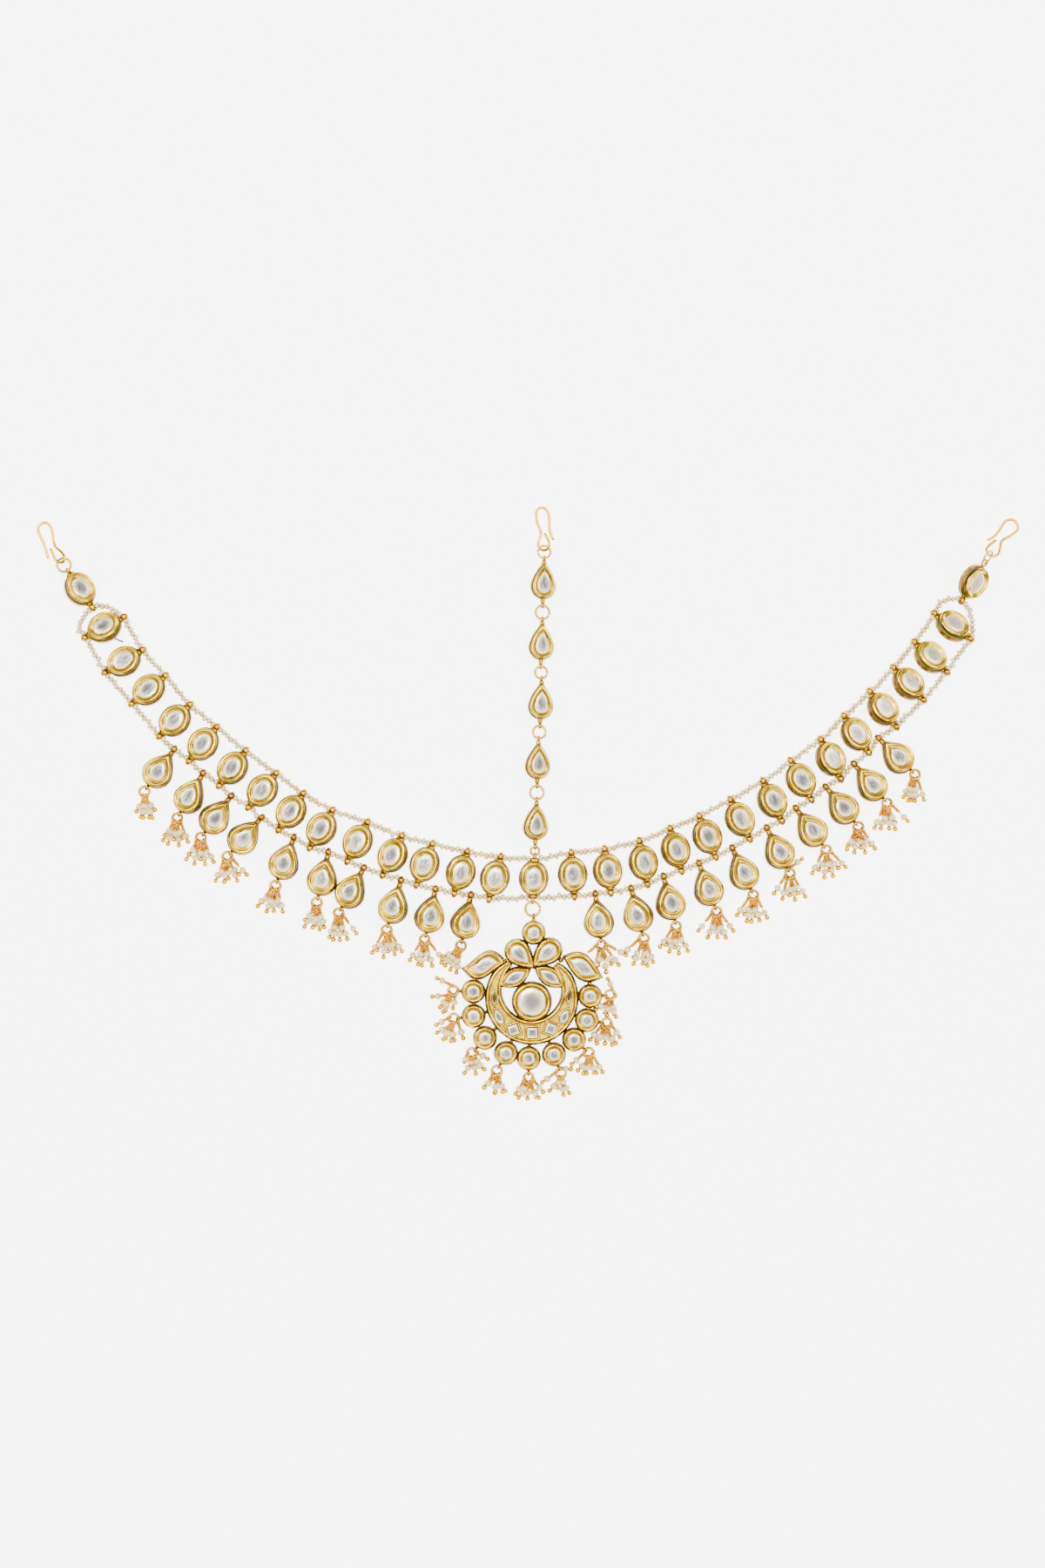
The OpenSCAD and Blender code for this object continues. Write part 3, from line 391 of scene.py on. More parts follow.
class Build:
    """Gathers lofts, tubes and balls into one mesh, with a material for each face."""

    def __init__(self):
        self.points, self.faces, self.kinds = [], [], []
        self.tone, self.deep, self.local = [], [], []
        self.count = 0

    def add(self, points, faces, kinds, tone=0.5, deep=None, local=None):
        n = len(points)
        self.points.append(points)
        self.faces.extend([tuple(int(i) + self.count for i in f) for f in faces])
        self.kinds.extend(kinds if isinstance(kinds, list) else [kinds] * len(faces))
        self.tone.append(np.full(n, tone))
        self.deep.append(np.zeros(n) if deep is None else deep)
        self.local.append(np.zeros((n, 3)) if local is None else local)
        self.count += n

    def loft(self, rings, kinds, tone=0.5, closed=True, start_cap=None, end_cap=None, deep=None, local=None):
        """rings is rows x points x 3; kinds gives each band between two rows its material."""
        rings = np.asarray(rings, float)
        rows, n, _ = rings.shape
        a = np.arange(n if closed else n - 1)
        b = (a + 1) % n
        faces, mats = [], []
        for r in range(rows - 1):
            faces.append(np.stack([a + r * n, b + r * n, b + (r + 1) * n, a + (r + 1) * n], 1))
            mats += [kinds[r] if isinstance(kinds, (list, tuple)) else kinds] * len(a)
        faces = [tuple(f) for f in np.concatenate(faces)]
        if start_cap is not None:
            faces.append(tuple(range(n - 1, -1, -1)))
            mats.append(start_cap)
        if end_cap is not None:
            faces.append(tuple(range((rows - 1) * n, rows * n)))
            mats.append(end_cap)
        self.add(rings.reshape(-1, 3), faces, mats, tone, deep, local)

    def tube(self, path, radius, kind, sides=8, closed=False, tone=0.5):
        """A round wire along a path, its frame carried along without twisting."""
        path = np.asarray(path, float)
        m = len(path)
        if closed:
            step = np.roll(path, -1, 0) - np.roll(path, 1, 0)
        else:
            step = np.gradient(path, axis=0)
        along = step / np.linalg.norm(step, axis=1)[:, None]
        side = np.zeros_like(path)
        guess = np.array([0.0, 0.0, 1.0]) if abs(along[0][2]) < 0.9 else np.array([1.0, 0.0, 0.0])
        for i in range(m):
            guess = guess - along[i] * (guess @ along[i])
            guess /= np.linalg.norm(guess)
            side[i] = guess
        up = np.cross(along, side)
        radius = np.broadcast_to(np.asarray(radius, float), (m,))
        angle = full_turn(sides)
        round_it = np.cos(angle)[None, :, None] * side[:, None] + np.sin(angle)[None, :, None] * up[:, None]
        rings = path[:, None] + radius[:, None, None] * round_it
        if closed:
            rings = np.concatenate([rings, rings[:1]])
            self.loft(rings, kind, tone)
        else:
            self.loft(rings, kind, tone, start_cap=kind, end_cap=kind)

    def ball(self, centre, radii, axis, kind, tone=0.5, around=14, down=9, lump=0.0):
        """An ellipsoid with its short or long radius along axis."""
        axis = np.asarray(axis, float)
        axis = axis / np.linalg.norm(axis)
        side = np.cross(axis, (0.0, 0.0, 1.0) if abs(axis[2]) < 0.9 else (1.0, 0.0, 0.0))
        side /= np.linalg.norm(side)
        up = np.cross(axis, side)
        u = full_turn(around)
        rings, deep = [], []
        for k in range(down + 1):
            t = math.pi * (k + 0.25) / (down + 0.5)
            # deep rises towards both ends of the axis: painted shade round the drill holes, used by the pearl
            # material.
            deep.append(np.full(around, abs(math.cos(t)) ** 2.4))
            wobble = 1 + lump * np.sin(2 * u + 5 * tone + k)
            across = radii[1] * np.cos(u)[:, None] * side + radii[2] * np.sin(u)[:, None] * up
            middle = np.asarray(centre) - axis * radii[0] * math.cos(t)
            rings.append(middle + math.sin(t) * wobble[:, None] * across)
        self.loft(rings, kind, tone, start_cap=kind, end_cap=kind, deep=np.concatenate(deep))

    def finish(self, node, slot_name):
        """Makes the mesh of one node of the part, named after it."""
        name = node + "_look"
        mesh = bpy.data.meshes.new(name)
        mesh.from_pydata(np.concatenate(self.points) * MM, [], self.faces)
        used = sorted(set(self.kinds))
        for k in used:
            mesh.materials.append(MATERIALS[k])
        mesh.polygons.foreach_set("material_index", [used.index(k) for k in self.kinds])
        mesh.polygons.foreach_set("use_smooth", [True] * len(self.faces))
        for label, values in (("tone", self.tone), ("deep", self.deep)):
            attribute = mesh.attributes.new(label, "FLOAT", "POINT")
            attribute.data.foreach_set("value", np.concatenate(values).astype(np.float32))
        attribute = mesh.attributes.new("local", "FLOAT_VECTOR", "POINT")
        attribute.data.foreach_set("vector", np.concatenate(self.local).astype(np.float32).ravel())
        mesh.update()
        mesh.validate()
        piece = add_object(name, mesh)
        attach(piece, "root")
        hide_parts(node)


# Places and outlines

def turn(angle):
    """The matrix of a turn about Z by this many degrees; lean_by's turns about Y."""
    c, s = math.cos(math.radians(angle)), math.sin(math.radians(angle))
    return np.array([[c, -s, 0], [s, c, 0], [0, 0, 1]])


def lean_by(angle):
    c, s = math.cos(math.radians(angle)), math.sin(math.radians(angle))
    return np.array([[c, 0, s], [0, 1, 0], [-s, 0, c]])


def toward(way):
    """A flat unit vector that points this many radians round from +X."""
    return np.array([math.cos(way), math.sin(way), 0])


def axis_point(row, half_w, along, across=0.0):
    """A point along the line through a setting's loops, or across from it."""
    lean = math.radians(row[3])
    shift = -(SETTING_H - LUG_Z) * math.sin(lean)
    flat = turn(row[2] - 90) @ np.array([shift + across * math.cos(lean), along, 0])
    height = LUG_Z * math.cos(lean) + (half_w + FLARE) * abs(math.sin(lean))
    return np.array([row[0] + flat[0], row[1] + flat[1], height - across * math.sin(lean)])


def seat(row, half_w):
    """Takes points of a setting to where it lies, leaning on its foot."""
    origin = axis_point(row, half_w, 0)
    matrix = turn(row[2] - 90) @ lean_by(row[3])
    return lambda p: origin + (np.asarray(p, float) - (0, 0, LUG_Z)) @ matrix.T


def flat_place(x, y, angle=0.0):
    matrix = turn(angle)
    return lambda p: np.array([x, y, 0.0]) + np.asarray(p, float) @ matrix.T


def oval(half_l, half_w, n=52):
    """An outline: its points at any distance o out from it, like all outlines here."""
    t = full_turn(n)
    return lambda o: np.stack([(half_w + o) * np.cos(t), (half_l + o) * np.sin(t)], 1)


def circle(r, n=44):
    return oval(r, r, n)


def teardrop(half_l, half_w, steps=14, arc=16):
    """A round end and sides that run to a point; the point moves more than the sides when it grows."""
    def at(o):
        w = half_w + o
        top, bottom = half_l + (1.7 - 0.15 * min(2.2, max(0, -o))) * o, -half_l - o
        round_y = bottom + w
        s = np.arange(steps + 1) / steps
        sides = w * (1 - s ** (1.7 + 0.35 * max(0, -o)))
        right = np.stack([sides, round_y + s * (top - round_y)], 1)
        left = np.stack([-sides, right[:, 1]], 1)[::-1][1:]
        t = np.radians(180 + np.arange(1, arc) * 180 / arc)
        low = np.stack([w * np.cos(t), round_y + w * np.sin(t)], 1)
        return np.concatenate([right, left, low])
    return at


def leaf(half_l, half_w, bend=0.0, steps=26):
    """Pointed at both ends, and swung sideways towards them by bend, one way and then the other."""
    def at(o):
        length = half_l + 1.55 * o
        s = np.linspace(-1, 1, steps + 1)
        w = 1 - s * s
        swing = bend * s * w * (length / half_l)
        low = np.stack([length * s, swing - (half_w + o) * w], 1)[:-1]
        high = np.stack([length * s, swing + (half_w + o) * w], 1)[::-1][:-1]
        return np.concatenate([low, high])
    return at


def square(half, n=6):
    """An outline with n points to a side."""
    def at(o):
        h = half + o
        s = np.linspace(-1, 1, n + 1)[:-1] * h
        e = np.full(n, h)
        return np.concatenate([np.stack(side, 1) for side in ((e, s), (-s, e), (-e, -s), (s, -e))])
    return at


def profile(*bands):
    """Steps of distance out, height and the material that leads up to them, from bands of a material."""
    return [(o, z, kind) for kind, steps in bands for o, z in steps]


def rim_profile(inset, rim_w, base):
    """From the back of a setting up its wall, over its rolled rim and down to the stone."""
    r = rim_w
    slope = inset - rim_w
    return profile(
        (SHADED_WALL, [(-0.3, 0.0), (0.4 * base, 0.08), (0.9 * base, 0.3), (base, 0.7), (0.86 * base, 1.3),
                (0.93 * base, 1.75), (0.78 * base, 2.05), (0.3 * base, 2.3)]),
        (ENAMEL_AND_SHADE, [(-0.12, 2.4), (-0.2, 2.58), (-0.06, 2.7)]),
        (EDGE, [(0.0, 2.82), (0.06, 3.1), (0.04, 3.38), (-0.05 * r, 3.57)]),
        (RIM, [(-0.11 * r, 3.69), (-0.23 * r, 3.81), (-0.38 * r, 3.91), (-0.56 * r, 3.965),
               (-0.74 * r, 3.95), (-0.88 * r, 3.87)]),
        (BEVEL, [(-0.97 * r, 3.76), (-r - 0.06 * slope, 3.69), (-r - 0.35 * slope, 3.6),
                 (-r - 0.65 * slope, 3.49), (-r - 0.9 * slope, 3.38)]),
        (FOIL, [(-inset - 0.02, 3.28), (-inset - 0.35, 3.22)]))


# Unevenness grows over RIM_RISE from the height RIM_FROM on, and no rim passes RIM_TOP or GROUND
GROUND = (-np.inf, -np.inf, 0.0)
RIM_FROM = 2.3
RIM_RISE = 1.2
RIM_TOP = 3.985
PIT_Z = 3.36


def rim(build, outline, place, inset, rim_w, base=0.5, wobble=0.035, lower=0.0):
    """A setting's cup: its wall, its slightly uneven rolled rim and the bevel down to the stone."""
    tone = rng.uniform(0, 1)
    steps = rim_profile(inset, rim_w, base)
    n = len(outline(0.0))
    t = full_turn(n)
    phase = rng.uniform(0, 6.28, 4)
    uneven = np.sin(2 * t + phase[0]) + 0.6 * np.sin(3 * t + phase[1]) + 0.35 * np.sin(5 * t + phase[2])
    uneven = wobble * uneven
    rings = []
    for o, z, _ in steps:
        share = min(1.0, max(0.0, (z - RIM_FROM) / RIM_RISE))
        flat = outline(o)
        moved = (uneven * share / np.linalg.norm(flat, axis=1))[:, None] * (1 if o < -0.2 else 0.3)
        flat = flat * (1 + moved)
        high = z - lower * share + 0.5 * uneven * share * (z > 3)
        rings.append(np.maximum(place(np.column_stack([flat, np.minimum(high, RIM_TOP)])), GROUND))
    build.loft(rings, [kind for _, _, kind in steps[1:]], tone, start_cap=SHADED_WALL, end_cap=FOIL)
    # A few dark pits where the gold leaf doesn't reach the stone: dark tubes, painted shade in the gaps
    edge = outline(-inset + 0.16)
    for i in rng.integers(0, n, rng.integers(1, 4)):
        reach = int(rng.integers(1, 3))
        k = np.arange(-reach, reach + 1)
        spots = np.column_stack([edge[(i + k) % n], np.full(len(k), PIT_Z - lower)])
        radii = 0.04 + rng.uniform(0.10, 0.19) * np.cos(1.5 * k / (reach + 0.5))
        build.tube(place(spots), radii, PIT_SHADE, 6, tone=tone)


# A stone's rings from its girdle to its table: share of its outline, height, and depth of its grey
STONE_ROWS = [
    (1.0, 3.2, 0.0), (1.0, 3.4, 0.0), (0.95, 3.48, 0.0), (0.84, 3.53, 0.18), (0.7, 3.56, 0.48),
    (0.52, 3.57, 0.85), (0.3, 3.57, 1.0), (0.08, 3.57, 1.0)]
STONE_TOP = 3.9


def stone(build, outline, place, inset, long_axis=1, lower=0.0, dark=1.0, tone=None, kind=STONE):
    """A flat cut stone with a sloping edge and a few uneven facets on its table."""
    edge = outline(-inset + 0.03)
    middle = edge.mean(0)
    size = np.abs(edge - middle).max(0)
    seed = rng.uniform(0, 50)
    tilt = rng.normal(0, 0.02, 2)
    n = len(edge)
    facets = rng.normal(0, 1, (len(STONE_ROWS), n))
    rings, deep, local = [], [], []
    for k, (share, z, depth) in enumerate(STONE_ROWS):
        flat = middle + (edge - middle) * share
        rough = np.convolve(np.tile(facets[k], 3), np.ones(5) / 5, "same")[n:2 * n] * 0.014 if k > 2 else 0
        high = z - lower + flat @ tilt * (k > 1) + rough
        rings.append(place(np.column_stack([flat, np.minimum(high, STONE_TOP)])))
        deep.append(np.full(n, depth * dark))
        scaled = (flat - middle) / size
        if long_axis == 0:
            scaled = scaled[:, ::-1]
        local.append(np.column_stack([scaled[:, 0] * 2.6, scaled[:, 1], np.full(n, seed)]))
    drawn = rng.uniform(0, 1)
    build.loft(rings, kind, drawn if tone is None else tone, end_cap=kind,
               deep=np.concatenate(deep), local=np.concatenate(local))


def eyelet(build, place, y, kind, size, neck_from=4.9, neck_w=1.65, sign=1):
    """A loop whose hole runs across the setting, on a short waisted neck."""
    half_l, half_h, wire, wide = size
    u = full_turn(18)
    v = full_turn(10)
    rings = []
    for a in np.append(u, u[0]):
        normal = np.array([math.cos(a) * half_h, math.sin(a) * half_l])
        normal /= np.linalg.norm(normal)
        centre = np.array([y + half_l * math.cos(a), LUG_Z + half_h * math.sin(a)])
        strap = wide * (1 - 0.22 * math.cos(a)) * np.sign(np.sin(v)) * np.abs(np.sin(v)) ** 0.75
        along = centre[0] + wire * np.cos(v) * normal[0]
        high = centre[1] + wire * np.cos(v) * normal[1]
        rings.append(place(np.stack([strap, along * sign, high], 1)))
    tone = rng.uniform(0, 1)
    build.loft(rings, kind, tone)
    inner = y - half_l - wire * 0.4
    # Shares of the neck's length and width, and half heights
    shares = ((0, 1, 1.0), (0.3, 0.95, 0.95), (0.7, 0.86, 0.85), (1, 0.76, 0.75))
    stations = [(neck_from + share * (inner - neck_from), neck_w * w, half_z) for share, w, half_z in shares]
    rings = []
    for along, half_w, half_z in [*stations, (inner + 0.4, wide * 0.95, 0.5)]:
        ring = np.stack([half_w * np.sin(v), np.full(10, along * sign), LUG_Z + half_z * np.cos(v)], 1)
        rings.append(place(ring))
    build.loft(rings, kind, tone, start_cap=kind, end_cap=kind)


def base_points(build, place, half_w):
    """Small pointed grains on the wall at the setting's widest places."""
    for side in (-1, 1):
        y = rng.uniform(-0.5, 0.5)
        centre = place(np.array([side * (half_w + 0.12), y, 1.25]))
        out = place(np.array([side * (half_w + 1.12), y, 1.25])) - centre
        build.ball(centre, (0.5, 0.5, 0.66), out, LUG_DARK, rng.uniform(0, 1), 10, 6)


# Settings

stones = {k: Build() for k in ("band", "end", "stem", "drop", "pendant")}


def oval_setting(row, group, loops, dark=1.0):
    """loops gives each loop's reach from the middle, its side and its size."""
    build = Build()
    place = seat(row, OVAL[1])
    shape = oval(*OVAL)
    inset = 1.82
    rim(build, shape, place, inset, 1.02)
    base_points(build, place, OVAL[1])
    for reach, sign, size in loops:
        eyelet(build, place, reach, LUG, size, sign=sign)
    stone(stones[group], shape, place, inset, dark=dark)
    return build


# The last settings on the right lean furthest and turn their stones to the camera; their stones get a
# shallower grey, painted lighter for the tilt.
PALE_FROM = 23
for i, row in enumerate(BAND):
    if i == CENTRE:
        loops = [(reach, sign, OVAL_EYE) for reach in (CENTRE_LOOP, CENTRE_RING_LOOP) for sign in (1, -1)]
    else:
        loops = [(BAND_LOOP, sign, BAND_LUG) for sign in (1, -1)]
    build = oval_setting(row, "band", loops, 0.7 if i >= PALE_FROM else 1.0)
    build.finish("band_setting_%02d" % (i + 1), "gold")

left_end = oval_setting(END_LEFT, "end", [(END_HOOK_LOOP, 1, OVAL_EYE), (END_THREAD_LOOP, -1, BAND_LUG)])
left_end.finish("end_setting_left", "gold")

# The right end's hook loop is a round eye in the setting's plane, on a tapered neck
EYE_R = 0.98
EYE_WIRE = 0.32
# This stone leans furthest of all and gets the shallowest grey, painted lighter for the tilt.
right_end = oval_setting(END_RIGHT, "end", [(END_THREAD_LOOP, -1, BAND_LUG)], 0.5)
place = seat(END_RIGHT, OVAL[1])
angle = full_turn(24)
eye_path = np.stack([EYE_R * np.sin(angle), END_HOOK_LOOP + EYE_R * np.cos(angle), np.full(24, LUG_Z)], 1)
right_end.tube(place(eye_path), EYE_WIRE, LUG, 10, closed=True)
neck_path = np.array([[0, y, LUG_Z] for y in (4.6, 5.3, 5.85)])
right_end.tube(place(neck_path), [0.75, 0.5, 0.42], LUG, 10)
right_end.finish("end_setting_right", "gold")


def drop_setting(build, row, size, group, inset, rim_w, bottom_reach):
    """A teardrop on the stem or on the lower string, with a loop at either end."""
    half_l, half_w = size
    place = seat(row, half_w)
    shape = teardrop(half_l, half_w)
    rim(build, shape, place, inset, rim_w)
    if group == "drop":
        eyelet(build, place, DROP_THREAD_LOOP, LUG_DARK, DROP_LUG, half_l - 1.0, 1.15)
    else:
        eyelet(build, place, STEM_TOP, LUG, STEM_EYE, half_l - 1.2, 1.0)
    eyelet(build, place, bottom_reach, LUG, DROP_EYE, half_l - 0.5, 0.95, sign=-1)
    stone(stones[group], shape, place, inset)


for i, row in enumerate(STEM):
    build = Build()
    drop_setting(build, row, STEM_DROP, "stem", 1.5, 0.85, STEM_BOTTOM)
    build.finish("stem_setting_%d" % (i + 1), "gold")

for side, rows in DROPS.items():
    build = Build()
    for row in rows:
        drop_setting(build, row, DROP, "drop", 2.1, 1.1, DROP_BOTTOM)
    build.finish("drop_settings_" + side, "gold")


# Pearl strings

# How far thread runs straight in loops' holes, pearls' spacing, and their middles' lowest height
HOLE_W = 1.4
CENTRE_HOLE_W = 2.4
END_HOLE_W = 1.1
PEARL_PITCH = 1.5
PEARL_LOW = 1.22


def mouths(row, half_w, reach, width=HOLE_W):
    """Where thread goes into a loop's hole and comes out."""
    return [axis_point(row, half_w, reach, across) for across in (-width / 2, width / 2)]


def smooth(points, per=10):
    """A Catmull-Rom curve through the points."""
    p = np.asarray(points, float)
    ext = np.vstack([2 * p[0] - p[1], p, 2 * p[-1] - p[-2]])
    out = []
    for i in range(1, len(ext) - 2):
        a, b, c, d = ext[i - 1:i + 3]
        t = (np.arange(per) / per)[:, None]
        curve = 2 * b + (c - a) * t + (2 * a - 5 * b + 4 * c - d) * t ** 2 + (3 * b - a - 3 * c + d) * t ** 3
        out.append(0.5 * curve)
    return np.vstack(out + [p[-1:]])


def along_path(path, distances):
    """The points at these distances along a path, and its whole length."""
    step = np.linalg.norm(np.diff(path, axis=0), axis=1)
    total = np.concatenate([[0], np.cumsum(step)])
    return np.stack([np.interp(distances, total, path[:, k]) for k in range(3)], 1), total[-1]


def pearl_run(build, points, start, end):
    """Slightly uneven pearls through the points, less a gap at the start and at the end."""
    path = smooth(points) if len(points) > 2 else np.linspace(points[0], points[1], 12)
    _, total = along_path(path, [0])
    free = total - start - end
    n = max(1, int(round(free / PEARL_PITCH)))
    at = start + (np.arange(n) + 0.5) * free / n
    places, _ = along_path(path, at)
    ahead, _ = along_path(path, np.minimum(total, at + 0.2))
    pitch = free / n
    for k in range(n):
        axis = ahead[k] - places[k] + 1e-9
        axis = axis / np.linalg.norm(axis) + rng.normal(0, 0.13, 3) * (1, 1, 0.5)
        side = np.array([-axis[1], axis[0], 0])
        centre = places[k] + side * ((-1) ** k * 0.13 + rng.normal(0, 0.12))
        centre[2] = max(centre[2] + rng.normal(0, 0.05), PEARL_LOW)
        across = rng.uniform(0.98, 1.2)
        along = min(0.5 * pitch * rng.uniform(1.0, 1.12), 0.98)
        up = across * rng.uniform(0.95, 1.02)
        build.ball(centre, (along, across, up), axis, PEARL, rng.uniform(0, 1), 14, 9, lump=0.045)


def string(build, start, bends, rows, end_bends, end):
    """Pearls from one end setting, through every loop in turn, to the other end setting."""
    first = [start, *map(np.array, bends), rows[0]]
    last = [rows[-1], *map(np.array, end_bends), end]
    pearl_run(build, first, start=0.3, end=0.05)
    for i in range(1, len(rows) - 1, 2):
        pearl_run(build, [rows[i], rows[i + 1]], start=0.03, end=0.03)
    pearl_run(build, last, start=0.05, end=0.3)
    build.tube(np.array(first[:-1] + rows + last[1:]), THREAD_R, THREAD, 6)


left, right = (mouths(row, OVAL[1], -BAND_THREAD, END_HOLE_W) for row in (END_LEFT, END_RIGHT))
upper, lower = [], []
for i, row in enumerate(BAND):
    reach, width = (CENTRE_THREAD, CENTRE_HOLE_W) if i == CENTRE else (BAND_THREAD, HOLE_W)
    upper += mouths(row, OVAL[1], reach, width)
    lower += mouths(row, OVAL[1], -reach, width)
    for side, rows in DROPS.items():
        k = i - FIRST_DROP[side]
        if 0 <= k < len(rows):
            lower += mouths(rows[k], DROP[1], DROP_THREAD)
build = Build()
string(build, left[1], WRAP_LEFT_UPPER, upper, WRAP_RIGHT_UPPER, right[0])
build.finish("pearl_string_upper", "pearl")
build = Build()
string(build, left[0], WRAP_LEFT_LOWER, lower, WRAP_RIGHT_LOWER, right[1])
build.tube(smooth(STUB, 4), STUB_R, STEEL, 8)
build.finish("pearl_string_lower", "pearl")


# Rings and hooks

def ring_path(a, b):
    """A jump ring through two points, lying as flat as they allow, with a fine cut."""
    middle = (a + b) / 2
    x = (b - a) / 2
    r = np.linalg.norm(x)
    x = x / r
    y = np.cross((0, 0, 1), x)
    y /= np.linalg.norm(y)
    cut = rng.uniform(0.6, 2.4)
    t = np.linspace(cut + 0.05, cut + 2 * math.pi - 0.05, 40)
    return middle + r * (np.cos(t)[:, None] * x + np.sin(t)[:, None] * y)


def ring_end(hole, way, r, height):
    """The far side of a ring of this radius that runs from a hole to this height, way in degrees."""
    drop = height - hole[2]
    end = hole + math.sqrt(4 * r * r - drop * drop) * toward(math.radians(way))
    end[2] = height
    return end


def stem_hole(i, reach):
    return axis_point(STEM[i], STEM_DROP[1], reach)


def wire_piece(node, wires, kind=WIRE):
    """One piece of round wires, each a path and a radius."""
    build = Build()
    for path, radius in wires:
        build.tube(path, radius, kind, 12)
    build.finish(node, "wire")


rings = [ring_path(stem_hole(i, -STEM_BOTTOM), stem_hole(i + 1, STEM_TOP)) for i in range(len(STEM) - 1)]
centre_ring = ring_path(stem_hole(-1, -STEM_BOTTOM), axis_point(BAND[CENTRE], OVAL[1], CENTRE_RING))
wire_piece("stem_rings", [(ring, STEM_RING_WIRE) for ring in rings] + [(centre_ring, CENTRE_RING_WIRE)])

hole = axis_point(BAND[CENTRE], OVAL[1], -CENTRE_RING)
pendant_low = ring_end(hole, 272, PENDANT_RING_R, LUG_Z)
wire_piece("pendant_ring", [(ring_path(hole, pendant_low), PENDANT_RING_WIRE)])

hole = stem_hole(0, STEM_TOP)
ring = ring_path(hole, ring_end(hole, 90, TOP_HOOK_RING_R, 1.5))
wire_piece("hook_ring_top", [(ring, TOP_HOOK_RING_WIRE)])

# The left hook's ring lies in its setting's plane, and the right one's stands up from its loop
t = np.linspace(0.9, 0.8 + 2 * math.pi, 40)
around = HOOK_RING_R * np.stack([np.cos(t), np.sin(t), 0 * t], 1)
ring = seat(END_LEFT, OVAL[1])(around + (0, END_HOOK_LOOP + HOOK_RING_R, LUG_Z))
wire_piece("hook_ring_left", [(ring, LEFT_HOOK_RING_WIRE)])

hole = axis_point(END_RIGHT, OVAL[1], END_HOOK_LOOP)
drop = 0.5
run = math.sqrt(HOOK_RING_R ** 2 - drop ** 2)
middle = hole + run * toward(math.radians(END_RIGHT[2])) - (0, 0, drop)
upright = turn(END_RIGHT[2] - 90) @ lean_by(110)
wire_piece("hook_ring_right", [(middle + around @ upright.T, RIGHT_HOOK_RING_WIRE)])

for route, node in ((HOOK_LEFT, "hook_left"), (HOOK_RIGHT, "hook_right"), (HOOK_TOP, "hook_top")):
    path = smooth(route, 5)
    path[:, 2] = np.maximum(path[:, 2], HOOK_LOW)
    radius = np.full(len(path), HOOK_WIRE)
    radius[[0, -1]] = HOOK_TIP
    wire_piece(node, [(path, radius)], BALL)


# Tassels

def pin(build, centre, root_way, ball, height):
    """A head pin: its eye on the ring, a wrapped neck, a pearl and a gold ball."""
    root = centre + PIN_ROOT_R * toward(root_way)
    root[2] = 1.2 + 0.35 * (height - PIN_LOW)
    ball = np.array([ball[0], ball[1], max(0.82, height * 0.8)])
    reach = np.linalg.norm(ball - root)
    d = (ball - root) / reach
    side = np.cross(d, (0, 0, 1))
    side /= np.linalg.norm(side)
    up = np.cross(side, d)
    tone = rng.uniform(0, 1)
    t = full_turn(14)
    eye = root + PIN_EYE_R * (np.cos(t)[:, None] * d + np.sin(t)[:, None] * (0.8 * up + 0.6 * side))
    build.tube(eye, PIN_EYE_WIRE, COPPER, 6, closed=True, tone=tone)
    pearl_r = rng.uniform(1.06, 1.24)
    ball_r = rng.uniform(0.8, 0.88)
    pearl_at = max(reach - ball_r * 0.85 - pearl_r * 0.95, 1.5)
    wraps = min(rng.uniform(2.4, 3.4), pearl_at - pearl_r - 0.3)
    if wraps > 0.3:
        turns = np.linspace(0, 2 * math.pi * wraps / WRAP_PITCH, int(wraps / WRAP_PITCH * 8) + 2)
        line = root + d * (0.4 + wraps * turns / turns[-1])[:, None]
        coil = line + WRAP_R * (np.cos(turns)[:, None] * side + np.sin(turns)[:, None] * up)
        build.tube(coil, WRAP_WIRE, COPPER, 6, tone=tone)
    build.tube(np.array([root + d * 0.4, root + d * (reach - 0.3)]), PIN_WIRE, COPPER, 6, tone=tone)
    middle = root + d * pearl_at
    middle[2] = max(middle[2], pearl_r + 0.02, height)
    build.ball(middle, (pearl_r * 0.92, pearl_r, pearl_r), d, PEARL, rng.uniform(0, 1), 16, 10, lump=0.03)
    build.ball(ball, (ball_r, ball_r, ball_r), d, BALL, rng.uniform(0, 1), 14, 9)


def tassel(build, hole, ring_way, balls):
    """A jump ring of nearly two turns with a fan of pins, every second one higher, and some on top."""
    far = ring_end(hole, ring_way, TASSEL_RING_R, TASSEL_RING_LOW)
    centre = (hole + far) / 2
    x = (far - hole) / 2
    y = np.cross((0, 0, 1), x)
    t = np.linspace(0, 3.6 * math.pi, 48) + rng.uniform(0, 6)
    coil = centre + np.cos(t)[:, None] * x + np.sin(t)[:, None] * y
    coil[:, 2] += np.linspace(-0.26, 0.3, 48)
    build.tube(coil, TASSEL_RING_WIRE, WIRE, 8)
    ways = [math.atan2(b[1] - centre[1], b[0] - centre[0]) for b in balls]
    mean = math.atan2(sum(math.sin(w) for w in ways), sum(math.cos(w) for w in ways))
    for k, ball in enumerate(balls):
        off = (ways[k] - mean + math.pi) % (2 * math.pi) - math.pi
        pin(build, centre, mean + 1.6 * off, ball, PIN_LOW + (k % 2) * rng.uniform(0.4, 0.75))
    for upper in ((-0.5, 0.0, 0.45) if len(balls) < 5 else (-0.3, 0.25)):
        way = mean + upper + rng.uniform(-0.1, 0.1)
        ball = centre + rng.uniform(6.2, 6.9) * toward(way)
        pin(build, centre, mean - 0.5 * upper, ball, PIN_TOP)


